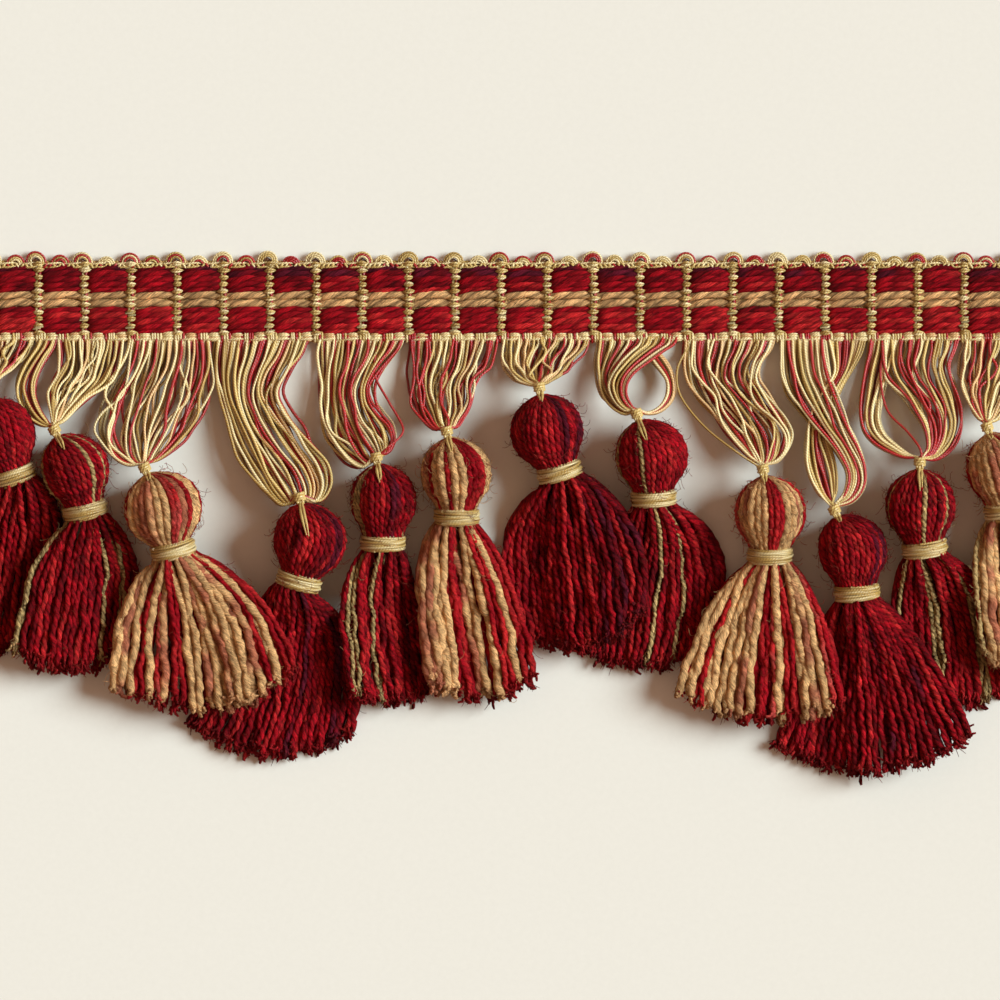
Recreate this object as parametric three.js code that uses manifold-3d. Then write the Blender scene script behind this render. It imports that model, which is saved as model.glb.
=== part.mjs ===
// Tassel fringe trimming: a cut length that lies on its back. A woven heading with a picot edge carries
// clusters of looped thread, and each cluster carries a wool tassel with a round head and a tied neck.
// Millimetres. X runs along the heading, Y up its face towards the picots, and Z up from the surface.
// The origin is the middle of the heading's flat back.
import * as THREE from "three";
import { mergeVertices } from "three/addons/utils/BufferGeometryUtils.js";
import Module from "manifold-3d";

const wasm = await Module();
wasm.setup();

const { degToRad, lerp, seededRandom, smoothstep } = THREE.MathUtils;

// Heading
const BAR_PITCH = 11.1; // from one crosswise bar to the next
const BARS_PER_TASSEL = 2;
const TASSEL_COUNT = 12;
const CLUSTER_PITCH = BAR_PITCH * BARS_PER_TASSEL;
const HEADING_LENGTH = CLUSTER_PITCH * TASSEL_COUNT;
const BAR_WIDTH = 2.6;
const FLOAT_SHOULDER = 1.5; // from a bar's edge to the full height of a float block
const HEADING_FOOT = -10.1; // the lower selvage, where the loops leave
const HEADING_ROWS = [
  { y: HEADING_FOOT, block: 0.8, bar: 0.8 },
  { y: -8.2, block: 1.4, bar: 1.9 },
  { y: -5.2, block: 3.1, bar: 2.2 },
  { y: -2.2, block: 1.8, bar: 2.2 },
  { y: -0.1, block: 2.5, bar: 2.2 },
  { y: 1.9, block: 1.8, bar: 2.2 },
  { y: 4.9, block: 3.1, bar: 2.2 },
  { y: 7.9, block: 1.4, bar: 1.9 },
  { y: 9.4, block: 1.2, bar: 1.2 },
];

// Picot edge: two thread arches to a bar pitch, the one on the bar a little taller
const PICOT = { reach: 2.1, root: 9.2, tallTop: 11.5, lowTop: 10.6, thread: 0.9, level: 0.6, steps: 3 };

// Loop clusters, each from a narrow strip that is parted from the lower selvage
const STRIP = { gap: 0.3, width: 1.2, thickness: 1.3, endGap: 0.5 };
const LOOP = { locks: 7, rootHeight: 0.8, height: 1.5, endHeight: 0.9, gap: 0.45, endWidth: 0.35 };
const LOOP_RISE = { layer: 0.9, climb: 1.7 }; // locks lie high and low by turns and climb to the ring
const LOOP_STEP = 0.04; // each root and end sits a little higher than the one beside it
const GATHER = { foot: -1.1, radius: 1.15, neck: 0.9, cup: 3.1, top: 3.6, sides: 6, spread: 2.3 };

// Hangers: a knotted ring of thread round each gather, with a tail that lies on the tassel's head
const RING = { inner: 1.75, outer: 2.7, height: 1.3, sides: 6 };
const TAIL = { thread: 1.0, clear: 1.0, length: 4.5, steps: 3 };

// Tassels
const KNOT_TO_HEAD = 10.6; // from the ring's middle to the middle of the head
const HEAD = { halfLength: 8.7, ribs: 7, ribDepth: 0.06, flat: 0.2, pitch: 7 };
const HEAD_ARCS = [-58, -24, 8, 40]; // degrees from the head's waist
const HEAD_DIMPLE = 0.93; // the pole's depth, as a share of the half length
const NECK = { radius: 4.1, start: 7.9, flareStart: 12.3, flareRadius: 4.8, end: 13.0 };
const TIE = { inner: 4.75, outer: 5.8, middle: 10.1, height: 4.1, sides: 12 };
const SKIRT = { locks: 12, rootRadius: 4.1, gap: 0.42, bend: 0.4, wing: 0.6, uneven: 0.025, base: 0.02 };
const LOCK = { leastShare: 0.3, ridgeShare: 0.93 }; // a lock's least width and its depth, as shares
const ROOT_LEAST = 0.05; // keeps the outermost locks from running out to nothing at the neck
const FLAT_CUT = { width: 300, height: 60 }; // a block over the surface: what reaches under it is cut flat
const SKIRT_STEPS = [0, 0.3, 0.64, 1];
const SKIRT_LANDS = 0.45; // share of its length at which a skirt reaches the surface
const SKIRT_SETTLES = 0.5; // share of its length at which a skirt has its end thickness

// Each tassel: where its knot hangs from the middle of its cluster (sway to the right, drop below the
// selvage), how far its head lies to the right of the knot, the head's radius, and its lean to the right.
const TASSELS = [
  { mix: "crimson", sway: -0.3, drop: 12.0, side: 2.6, radius: 8.4, lean: 18 },
  { mix: "flecked", sway: -6.9, drop: 21.1, side: 5.0, radius: 8.1, lean: 13 },
  { mix: "tan", sway: -7.5, drop: 30.2, side: 4.3, radius: 9.3, lean: 14 },
  { mix: "crimson", sway: 7.3, drop: 37.2, side: 2.4, radius: 8.9, lean: -15 },
  { mix: "flecked", sway: 3.5, drop: 27.6, side: 1.7, radius: 7.7, lean: -1 },
  { mix: "tan", sway: -1.9, drop: 21.4, side: 2.4, radius: 8.4, lean: 0 },
  { mix: "crimson", sway: -2.0, drop: 11.0, side: 1.9, radius: 8.6, lean: 17 },
  { mix: "flecked", sway: -0.9, drop: 17.3, side: 3.4, radius: 8.6, lean: 4 },
  { mix: "tan", sway: 7.1, drop: 30.5, side: 1.7, radius: 8.4, lean: 0 },
  { mix: "crimson", sway: 2.0, drop: 40.3, side: 4.6, radius: 8.2, lean: 5 },
  { mix: "flecked", sway: 0.2, drop: 28.8, side: 0.0, radius: 8.4, lean: 7 },
  { mix: "tan", sway: -5.9, drop: 20.4, side: 3.4, radius: 8.2, lean: 8 },
];

// Each cluster's middle and half width at a quarter, a half and three quarters of its drop
const LOOP_SWEEPS = [
  { middle: [-0.6, -1.4, -1.6], half: [9.0, 7.0, 4.2] },
  { middle: [-2.5, -5.0, -7.9], half: [8.6, 6.8, 4.4] },
  { middle: [-2.6, -6.2, -8.0], half: [9.4, 8.4, 6.6] },
  { middle: [-4.4, -1.8, 4.2], half: [7.8, 8.2, 7.4] },
  { middle: [-3.2, -2.6, -0.2], half: [7.0, 7.4, 7.6] },
  { middle: [-1.1, -2.6, -2.8], half: [9.4, 8.0, 5.8] },
  { middle: [-1.1, -2.0, -2.6], half: [9.2, 7.6, 4.6] },
  { middle: [-2.0, -1.6, -1.3], half: [8.0, 8.4, 6.2] },
  { middle: [-2.7, 1.0, 5.3], half: [8.8, 9.0, 7.0] },
  { middle: [-1.9, -0.9, 2.0], half: [9.0, 5.8, 6.6] },
  { middle: [-1.2, -1.4, -1.0], half: [9.0, 9.2, 8.2] },
  { middle: [-0.4, -2.2, -3.8], half: [9.4, 7.6, 4.8] },
];

// Each skirt, from the middle of its tie: how far its ends reach to either side, the sideways pull of its
// swell, and how far its ends fall at the left wing, the middle and the right wing
const SKIRT_SPREADS = [
  { reach: [-15.8, 7.0], swell: [-16.0, 16.3], drop: [39.4, 43.0, 40.6] },
  { reach: [-17.3, 11.0], swell: [-15.2, 16.3], drop: [34.3, 39.4, 33.1] },
  { reach: [-15.6, 30.0], swell: [-15.0, 26.0], drop: [32.8, 40.0, 29.6] },
  { reach: [-27.4, 12.7], swell: [-14.0, 19.0], drop: [34.0, 43.2, 37.7] },
  { reach: [-7.6, 11.6], swell: [-13.5, 8.6], drop: [37.0, 39.1, 37.0] },
  { reach: [-6.2, 19.7], swell: [-12.7, 15.0], drop: [42.0, 45.1, 39.6] },
  { reach: [-11.0, 20.9], swell: [-19.0, 23.5], drop: [39.1, 43.4, 33.8] },
  { reach: [-19.5, 15.0], swell: [-15.0, 23.0], drop: [35.5, 41.8, 32.6] },
  { reach: [-23.0, 18.5], swell: [-17.3, 14.2], drop: [33.4, 40.6, 36.6] },
  { reach: [-20.0, 28.7], swell: [-12.0, 17.8], drop: [37.2, 44.4, 34.8] },
  { reach: [-8.4, 20.9], swell: [-9.0, 21.4], drop: [35.8, 38.9, 34.6] },
  { reach: [-5.0, 18.2], swell: [-11.3, 16.6], drop: [36.2, 41.0, 35.0] },
];

// How high the skirt's underside lies over the surface, where it lies over its neighbour, and its
// thickness, at the same three places
const SKIRT_DEPTHS = [
  { lift: [0, 0, 0], thick: [5.0, 3.6, 2.8] },
  { lift: [4.6, 3.4, 0], thick: [4.0, 5.0, 3.4] },
  { lift: [4.6, 4.2, 7.0], thick: [4.0, 5.0, 4.5] },
  { lift: [0, 0, 0], thick: [3.4, 4.6, 3.0] },
  { lift: [5.8, 1.5, 0], thick: [4.0, 4.5, 3.4] },
  { lift: [4.8, 1.5, 4.2], thick: [4.0, 5.0, 4.0] },
  { lift: [0, 4.0, 7.4], thick: [3.4, 4.5, 4.5] },
  { lift: [0, 0, 0], thick: [3.2, 4.6, 3.2] },
  { lift: [4.2, 4.2, 6.0], thick: [4.0, 5.0, 4.5] },
  { lift: [0, 3.0, 5.0], thick: [3.2, 5.0, 4.5] },
  { lift: [0, 0, 0], thick: [3.2, 4.4, 3.0] },
  { lift: [6.0, 2.0, 0], thick: [4.0, 5.0, 5.0] },
];

const COLOURS = {
  heading: 0x9c3a35,
  thread: 0xd8c48e,
  tie: 0xc0a468,
  crimson: 0x7c1022,
  flecked: 0x8c2630,
  tan: 0xc69a6c,
};

const RIGHT = new THREE.Vector3(1, 0, 0);
const UP = new THREE.Vector3(0, 0, 1);

const SEED = 7;
seededRandom(SEED);

// A number from -1 to 1, the same in every run
const jitter = () => 2 * seededRandom() - 1;

function cloth(colour, roughness) {
  return new THREE.MeshStandardMaterial({ color: colour, roughness, metalness: 0 });
}

// A closed body from points and triangles, turned so that its faces point out
function closedBody(points, triangles) {
  let volume = 0;
  for (let i = 0; i < triangles.length; i += 3) {
    const [a, b, c] = triangles.slice(i, i + 3).map((k) => points[k]);
    volume += a.dot(b.clone().cross(c));
  }
  const outward = volume > 0 ? triangles : triangles.toReversed();
  const geometry = new THREE.BufferGeometry().setFromPoints(points);
  geometry.setIndex(outward);
  geometry.computeVertexNormals();
  return geometry;
}

// Adds rings of equally many points to a body, and the walls between them. Seen from the last ring, each
// ring runs anticlockwise. Each wall is split from its later point, or from its earlier one.
function addWalls(body, rings, splitEarlier = false) {
  const sides = rings[0].length;
  const first = body.points.length;
  body.points.push(...rings.flat());
  for (let ring = 0; ring < rings.length - 1; ring++) {
    for (let k = 0; k < sides; k++) {
      const a = first + ring * sides + k;
      const b = first + ring * sides + ((k + 1) % sides);
      const [c, d] = [a + sides, b + sides];
      body.triangles.push(...(splitEarlier ? [a, b, d, a, d, c] : [a, b, c, b, d, c]));
    }
  }
}

// Adds a flat face with openings, each given by its points' places in the body. The face looks along
// right x up.
function addFaceWithOpenings(body, outline, openings, right, up) {
  const flat = (places) => places.map((place) => {
    const point = body.points[place];
    return new THREE.Vector2(point.dot(right), point.dot(up));
  });
  const places = [outline, ...openings].flat();
  for (const face of THREE.ShapeUtils.triangulateShape(flat(outline), openings.map(flat))) {
    const [a, b, c] = flat(face.map((k) => places[k]));
    const turned = b.sub(a).cross(c.sub(a)) < 0 ? face.toReversed() : face;
    body.triangles.push(...turned.map((k) => places[k]));
  }
}

// One closed body through rings of equally many points, with a flat fan at each end
function skin(rings) {
  const sides = rings[0].length;
  const body = { points: [], triangles: [] };
  addWalls(body, rings);
  const last = body.points.length - sides;
  for (let k = 1; k < sides - 1; k++) {
    body.triangles.push(0, k + 1, k, last, last + k, last + k + 1);
  }
  return closedBody(body.points, body.triangles);
}

// The sections of a three-sided strand along a path, flat side down, with a width and a height at each
// point
function strandRings(path, widths, heights) {
  return path.map((point, i) => {
    const ahead = path[Math.min(i + 1, path.length - 1)];
    const behind = path[Math.max(i - 1, 0)];
    const tangent = ahead.clone().sub(behind).normalize();
    const across = UP.clone().cross(tangent).normalize();
    const rise = tangent.clone().cross(across);
    return triangleSection(point, across, rise, widths[i], heights[i]);
  });
}

function triangleSection(middle, across, rise, width, height) {
  const corner = (side, up) =>
    middle.clone().addScaledVector(across, side * width).addScaledVector(rise, up * height);
  return [corner(-0.5, -0.5), corner(0.5, -0.5), corner(0, 0.5)];
}

function solidOf(geometry) {
  const flat = geometry.index ? geometry.toNonIndexed() : geometry;
  const bare = new THREE.BufferGeometry().setAttribute("position", flat.getAttribute("position"));
  const merged = mergeVertices(bare, 1e-4);
  const mesh = new wasm.Mesh({
    numProp: 3,
    vertProperties: merged.attributes.position.array,
    triVerts: new Uint32Array(merged.index.array),
  });
  return new wasm.Manifold(mesh);
}

function geometryOf(solid) {
  const mesh = solid.getMesh();
  const geometry = new THREE.BufferGeometry();
  geometry.setAttribute("position", new THREE.BufferAttribute(mesh.vertProperties, 3));
  geometry.setIndex(new THREE.BufferAttribute(mesh.triVerts, 1));
  geometry.computeVertexNormals();
  return geometry;
}

function joined(geometries) {
  const solids = geometries.map(solidOf);
  return geometryOf(solids.reduce((sum, next) => sum.add(next)));
}

// The woven band: rows of raised floats between crosswise bars, over a flat back
function bandGeometry() {
  const halfBar = BAR_WIDTH / 2;
  const barCount = HEADING_LENGTH / BAR_PITCH;
  const stations = [];
  for (let k = 0; k <= barCount; k++) {
    const x = k * BAR_PITCH - HEADING_LENGTH / 2;
    stations.push({ x: x - halfBar - FLOAT_SHOULDER, height: "block" });
    stations.push({ x: x - halfBar, height: "bar" });
    stations.push({ x: x + halfBar, height: "bar" });
    stations.push({ x: x + halfBar + FLOAT_SHOULDER, height: "block" });
  }
  const within = stations.slice(2, -2);
  const columns = [
    { x: -HEADING_LENGTH / 2, height: "bar" },
    ...within,
    { x: HEADING_LENGTH / 2, height: "bar" },
  ];
  const rings = columns.map(({ x, height }) => {
    const face = HEADING_ROWS.map((row) => new THREE.Vector3(x, row.y, row[height]));
    const back = [HEADING_ROWS.at(-1), HEADING_ROWS[0]].map((row) => new THREE.Vector3(x, row.y, 0));
    return [...back, ...face];
  });
  return skin(rings);
}

function picotGeometry(x, top) {
  const path = [];
  for (let k = 0; k <= PICOT.steps; k++) {
    const angle = (Math.PI * k) / PICOT.steps;
    const y = PICOT.root + Math.sin(angle) * (top - PICOT.thread / 2 - PICOT.root);
    path.push(new THREE.Vector3(x - Math.cos(angle) * PICOT.reach, y, PICOT.level));
  }
  const sizes = Array(path.length).fill(PICOT.thread);
  return skin(strandRings(path, sizes, sizes));
}

function buildHeading() {
  const arches = [];
  const archPitch = BAR_PITCH / 2;
  const archCount = HEADING_LENGTH / archPitch;
  for (let k = 1; k < archCount; k++) {
    const onBar = k % 2 === 0;
    const x = k * archPitch - HEADING_LENGTH / 2;
    arches.push(picotGeometry(x, onBar ? PICOT.tallTop : PICOT.lowTop));
  }
  const mesh = new THREE.Mesh(joined([bandGeometry(), ...arches]), cloth(COLOURS.heading, 0.85));
  mesh.name = "heading";
  return mesh;
}

// Where one tassel lies: its ring, head and tie, and its own axis from the head towards the skirt
function layOf(index) {
  const { sway, drop, side, radius, lean } = TASSELS[index];
  const clusterMiddle = (index + 0.5) * CLUSTER_PITCH - HEADING_LENGTH / 2;
  const axis = new THREE.Vector3(0, -1, 0)
    .applyAxisAngle(new THREE.Vector3(1, 0, 0), degToRad(HEAD.pitch))
    .applyAxisAngle(new THREE.Vector3(0, 0, 1), degToRad(lean));
  const across = new THREE.Vector3(Math.cos(degToRad(lean)), Math.sin(degToRad(lean)), 0);
  const rise = axis.clone().cross(across);
  const headLevel = radius - HEAD.flat;
  const ringLevel = headLevel + 1.0;
  const ring = new THREE.Vector3(clusterMiddle + sway, HEADING_FOOT - drop, ringLevel);
  const fall = Math.sqrt(KNOT_TO_HEAD ** 2 - side ** 2);
  const head = new THREE.Vector3(ring.x + side, ring.y - fall, headLevel);
  const tie = head.clone().addScaledVector(axis, TIE.middle);
  const hang = ring.clone().sub(head).normalize();
  return { clusterMiddle, radius, axis, across, rise, ring, head, tie, hang };
}

// The gather at a cluster's foot: a short neck inside the ring that widens to an open cup
function gatherRings({ ring, hang }, right, up) {
  const sections = [
    { along: GATHER.foot, reach: GATHER.radius },
    { along: GATHER.neck, reach: GATHER.radius },
    { along: GATHER.top, reach: GATHER.cup },
  ];
  return sections.map(({ along, reach }) =>
    Array.from({ length: GATHER.sides }, (_, k) => {
      const angle = (2 * Math.PI * k) / GATHER.sides;
      return ring
        .clone()
        .addScaledVector(hang, along)
        .addScaledVector(right, reach * Math.cos(angle))
        .addScaledVector(up, reach * Math.sin(angle));
    }),
  );
}

// The sections of one lock, from the strip's lower face to the cup's mouth
function loopRings(lay, sweep, k, cupRight, cupUp) {
  const { clusterMiddle, ring, hang } = lay;
  const share = (2 * k + 1) / LOOP.locks - 1;
  const step = LOOP_STEP * (k - (LOOP.locks - 1) / 2);
  const rootHalf = (CLUSTER_PITCH - STRIP.endGap) / 2;
  const face = HEADING_FOOT - STRIP.gap - STRIP.width;
  const mouth = ring.clone().addScaledVector(hang, GATHER.top);
  const fall = face - mouth.y;
  const layer = k % 2 === 0 ? 0 : LOOP_RISE.layer;
  const root = new THREE.Vector3(clusterMiddle + share * rootHalf, face, STRIP.thickness / 2 + step);
  const end = mouth.clone().addScaledVector(cupRight, share * GATHER.spread).addScaledVector(cupUp, -step);
  const path = sweep.middle.map((offset, i) => {
    const down = (i + 1) / (sweep.middle.length + 1);
    const level = lerp(LOOP.height / 2, ring.z - LOOP_RISE.layer / 2, down ** LOOP_RISE.climb) + layer;
    return new THREE.Vector3(clusterMiddle + offset + share * sweep.half[i], face - fall * down, level);
  });
  const width = (half) => (2 * half) / LOOP.locks - LOOP.gap;
  return [
    triangleSection(root, RIGHT, UP, width(rootHalf), LOOP.rootHeight),
    ...path.map((point, i) => triangleSection(point, RIGHT, UP, width(sweep.half[i]), LOOP.height)),
    triangleSection(end, cupRight, cupUp.clone().negate(), LOOP.endWidth, LOOP.endHeight),
  ];
}

// A cluster as one closed body: locks that leave openings in the strip's face and enter the cup's mouth
function loopsGeometry(lay, sweep) {
  const cupRight = lay.hang.clone().cross(UP).normalize();
  const cupUp = lay.hang.clone().cross(cupRight);
  const half = (CLUSTER_PITCH - STRIP.endGap) / 2;
  const stripRing = (y) =>
    [[-half, 0], [half, 0], [half, STRIP.thickness], [-half, STRIP.thickness]].map(
      ([x, z]) => new THREE.Vector3(lay.clusterMiddle + x, y, z),
    );
  const back = HEADING_FOOT - STRIP.gap;
  const body = { points: [], triangles: [0, 2, 1, 0, 3, 2] };
  addWalls(body, [stripRing(back), stripRing(back - STRIP.width)]);
  const gatherStart = body.points.length;
  addWalls(body, gatherRings(lay, cupRight, cupUp));
  for (let k = 1; k < GATHER.sides - 1; k++) {
    body.triangles.push(gatherStart, gatherStart + k + 1, gatherStart + k);
  }
  const mouthStart = body.points.length - GATHER.sides;
  const roots = [];
  const ends = [];
  for (let k = 0; k < LOOP.locks; k++) {
    const start = body.points.length;
    addWalls(body, loopRings(lay, sweep, k, cupRight, cupUp));
    const end = body.points.length;
    roots.push([start, start + 1, start + 2]);
    ends.push([end - 3, end - 2, end - 1]);
  }
  const mouth = Array.from({ length: GATHER.sides }, (_, k) => mouthStart + k);
  addFaceWithOpenings(body, [4, 5, 6, 7], roots, RIGHT, UP);
  addFaceWithOpenings(body, mouth, ends, cupRight, cupUp);
  return closedBody(body.points, body.triangles);
}

function buildLoops(index) {
  const geometry = loopsGeometry(layOf(index), LOOP_SWEEPS[index]);
  const mesh = new THREE.Mesh(geometry, cloth(COLOURS.thread, 0.5));
  mesh.name = `loops_${label(index)}`;
  return mesh;
}

function buildHanger(index) {
  const { ring, head, hang, radius } = layOf(index);
  const halfHeight = RING.height / 2;
  const profile = [
    new THREE.Vector2(RING.inner, -halfHeight),
    new THREE.Vector2(RING.outer, -halfHeight),
    new THREE.Vector2(RING.outer, halfHeight),
    new THREE.Vector2(RING.inner, halfHeight),
    new THREE.Vector2(RING.inner, -halfHeight),
  ];
  const band = new THREE.LatheGeometry(profile, RING.sides);
  band.applyQuaternion(new THREE.Quaternion().setFromUnitVectors(new THREE.Vector3(0, 1, 0), hang));
  band.translate(ring.x, ring.y, ring.z);

  // The tail starts in the ring's upper side and follows the head's dome
  const start = new THREE.Vector3(ring.x, ring.y, ring.z + (RING.inner + RING.outer) / 2);
  const path = [start];
  const towards = new THREE.Vector3(-hang.x, -hang.y, 0).normalize();
  for (let k = 1; k <= TAIL.steps; k++) {
    const point = start.clone().addScaledVector(towards, (TAIL.length * k) / TAIL.steps);
    const dx = Math.hypot(point.x - head.x, point.y - head.y) / HEAD.halfLength;
    const dome = head.z + radius * Math.sqrt(Math.max(1 - dx ** 2, 0)) + TAIL.clear + TAIL.thread / 2;
    path.push(point.setZ(Math.max(dome, start.z)));
  }
  const sizes = Array(path.length).fill(TAIL.thread);
  const tail = skin(strandRings(path, sizes, sizes));
  const mesh = new THREE.Mesh(joined([band, tail]), cloth(COLOURS.thread, 0.6));
  mesh.name = `hanger_${label(index)}`;
  return mesh;
}

// The rings of the head and its neck, from the pole to the neck's open end, ribbed as far as the neck
function headRings({ axis, across, rise, head, radius }) {
  const belly = HEAD_ARCS.map((degrees) => ({
    along: HEAD.halfLength * Math.sin(degToRad(degrees)),
    reach: radius * Math.cos(degToRad(degrees)),
    rib: HEAD.ribDepth,
  }));
  const neck = [
    { along: NECK.start, reach: NECK.radius, rib: 0 },
    { along: NECK.flareStart, reach: NECK.radius, rib: 0 },
    { along: NECK.end, reach: NECK.flareRadius, rib: 0 },
  ];
  const sides = HEAD.ribs * 2;
  return [...belly, ...neck].map(({ along, reach, rib }) =>
    Array.from({ length: sides }, (_, k) => {
      const angle = (2 * Math.PI * k) / sides - Math.PI / 2;
      const ribbed = reach * (k % 2 === 0 ? 1 : 1 - rib);
      return head
        .clone()
        .addScaledVector(axis, along)
        .addScaledVector(across, ribbed * Math.cos(angle))
        .addScaledVector(rise, ribbed * Math.sin(angle));
    }),
  );
}

// Between a skirt's middle value and its left or right one
function wingValue([left, middle, right], across, outward) {
  return lerp(middle, across < 0 ? left : right, outward);
}

// A point of the skirt in plan, for a share across it (-1 left, 1 right) and a share down it
function skirtPlan(lay, skirt, across, down) {
  const side = (across + 1) / 2;
  const root = lay.head
    .clone()
    .addScaledVector(lay.axis, NECK.end)
    .addScaledVector(lay.across, across * SKIRT.rootRadius);
  const fall = wingValue(skirt.drop, across, across ** 2);
  const end = new THREE.Vector2(lay.tie.x + lerp(...skirt.reach, side), lay.tie.y - fall);
  const pull = new THREE.Vector2(lay.tie.x + lerp(...skirt.swell, side), lay.tie.y - fall * SKIRT.bend);
  const up = 1 - down;
  return new THREE.Vector2(
    up * up * root.x + 2 * up * down * pull.x + down * down * end.x,
    up * up * root.y + 2 * up * down * pull.y + down * down * end.y,
  );
}

// How far the neck's round bundle stands over and under its middle there
function rootRise(across) {
  return SKIRT.rootRadius * Math.sqrt(Math.max(1 - across ** 2, ROOT_LEAST));
}

// A point on the skirt's underside or top
function skirtPoint(lay, skirt, across, down, onTop) {
  const sign = onTop ? 1 : -1;
  if (down === 0) {
    return lay.head
      .clone()
      .addScaledVector(lay.axis, NECK.end)
      .addScaledVector(lay.across, across * SKIRT.rootRadius)
      .addScaledVector(lay.rise, sign * rootRise(across));
  }
  const rootLevel = lay.head.z + lay.axis.z * NECK.end + sign * rootRise(across);
  const outward = smoothstep(Math.abs(across), 0, SKIRT.wing);
  const base = SKIRT.base + wingValue(skirt.lift, across, outward);
  const level = onTop
    ? lerp(rootLevel, base + wingValue(skirt.thick, across, outward), smoothstep(down, 0, SKIRT_SETTLES))
    : lerp(rootLevel, base, smoothstep(down, 0, SKIRT_LANDS));
  const plan = skirtPlan(lay, skirt, across, down);
  return new THREE.Vector3(plan.x, plan.y, level);
}

// Three-sided locks, with the flat side down and up by turns, so that they fill the skirt between them
function skirtLocks(lay, skirt) {
  const pitch = 2 / SKIRT.locks;
  return Array.from({ length: SKIRT.locks }, (_, k) => {
    const middle = (k + 0.5) * pitch - 1;
    const flatOnTop = k % 2 === 1;
    const length = 1 + SKIRT.uneven * jitter();
    return SKIRT_STEPS.map((step) => {
      const down = step === 1 ? length : step;
      const here = skirtPlan(lay, skirt, middle, down);
      const spacing = here.distanceTo(skirtPlan(lay, skirt, middle + pitch, down));
      const half = pitch * Math.max(1 - SKIRT.gap / spacing, LOCK.leastShare);
      const left = skirtPoint(lay, skirt, middle - half, down, flatOnTop);
      const right = skirtPoint(lay, skirt, middle + half, down, flatOnTop);
      const flatSide = skirtPoint(lay, skirt, middle, down, flatOnTop);
      const ridge = flatSide.lerp(skirtPoint(lay, skirt, middle, down, !flatOnTop), LOCK.ridgeShare);
      return flatOnTop ? [ridge, right, left] : [left, right, ridge];
    });
  });
}

// Head, neck and skirt as one closed body: the locks grow out of openings in the neck's flat end
function tasselGeometry(lay, skirt) {
  const rings = headRings(lay);
  const sides = HEAD.ribs * 2;
  const pole = lay.head.clone().addScaledVector(lay.axis, -HEAD.halfLength * HEAD_DIMPLE);
  const body = { points: [pole], triangles: [] };
  for (let k = 0; k < sides; k++) {
    body.triangles.push(0, 1 + ((k + 1) % sides), 1 + k);
  }
  addWalls(body, rings);
  const rim = body.points.length - sides;

  // Facing walls of neighbouring locks are split alike, so that their gap keeps its width where they warp
  const starts = [];
  skirtLocks(lay, skirt).forEach((lock, k) => {
    starts.push(body.points.length);
    addWalls(body, lock, k % 2 === 1);
    const end = body.points.length;
    body.triangles.push(end - 3, end - 2, end - 1);
  });
  const corners = [...rings.at(-1).keys()].map((k) => rim + k);
  const openings = starts.map((start) => [start, start + 1, start + 2]);
  addFaceWithOpenings(body, corners, openings, lay.across, lay.rise);
  return closedBody(body.points, body.triangles);
}

function buildTassel(index) {
  const lay = layOf(index);
  const over = new THREE.BoxGeometry(FLAT_CUT.width, FLAT_CUT.width, FLAT_CUT.height);
  over.translate(lay.head.x, lay.head.y, FLAT_CUT.height / 2);
  const skirt = { ...SKIRT_SPREADS[index], ...SKIRT_DEPTHS[index] };
  const body = solidOf(tasselGeometry(lay, skirt)).intersect(solidOf(over));
  const mesh = new THREE.Mesh(geometryOf(body), cloth(COLOURS[TASSELS[index].mix], 0.95));
  mesh.name = `tassel_${label(index)}`;
  return mesh;
}

function buildTie(index) {
  const { axis, tie } = layOf(index);
  const half = TIE.height / 2;
  const profile = [
    new THREE.Vector2(TIE.inner, -half),
    new THREE.Vector2(TIE.outer, -half),
    new THREE.Vector2(TIE.outer, half),
    new THREE.Vector2(TIE.inner, half),
    new THREE.Vector2(TIE.inner, -half),
  ];
  const mesh = new THREE.Mesh(new THREE.LatheGeometry(profile, TIE.sides), cloth(COLOURS.tie, 0.45));
  mesh.name = `tie_${label(index)}`;
  mesh.quaternion.setFromUnitVectors(new THREE.Vector3(0, 1, 0), axis);
  mesh.position.copy(tie);
  return mesh;
}

function label(index) {
  return String(index + 1).padStart(2, "0");
}

const fringe = new THREE.Group();
fringe.add(buildHeading());
for (let index = 0; index < TASSEL_COUNT; index++) {
  fringe.add(buildLoops(index), buildHanger(index), buildTassel(index), buildTie(index));
}

export default fringe;
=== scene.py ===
"""Looks for a cut length of tassel fringe trimming that lies on its back.

Every thread and yarn is a strand: a path in millimetres with a radius, a twist and a shade at each point.
A skein gathers strands and turns them into one mesh. The heading, the loop clusters, the hangers, the
tassels and their ties each have a class that lays their strands and dresses the piece.
"""

import logging
import math
from collections.abc import Callable, Sequence
from dataclasses import dataclass, field
from enum import Enum

import bmesh
import bpy
import numpy as np
from mathutils import Matrix, Quaternion, Vector


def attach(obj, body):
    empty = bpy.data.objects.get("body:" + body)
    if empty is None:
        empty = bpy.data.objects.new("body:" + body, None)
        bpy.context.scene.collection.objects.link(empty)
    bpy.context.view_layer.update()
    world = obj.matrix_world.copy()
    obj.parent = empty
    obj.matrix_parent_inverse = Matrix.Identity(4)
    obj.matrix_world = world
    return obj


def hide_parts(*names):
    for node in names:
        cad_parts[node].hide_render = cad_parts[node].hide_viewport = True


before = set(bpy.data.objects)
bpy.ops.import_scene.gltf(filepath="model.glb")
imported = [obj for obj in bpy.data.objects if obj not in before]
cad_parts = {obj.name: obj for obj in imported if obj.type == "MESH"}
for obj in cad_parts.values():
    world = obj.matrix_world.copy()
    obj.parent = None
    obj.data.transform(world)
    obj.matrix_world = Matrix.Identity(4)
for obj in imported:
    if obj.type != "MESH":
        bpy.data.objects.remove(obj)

LOG = logging.getLogger("fringe")
MM = 0.001
FULL_TURN = 2 * math.pi

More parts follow.
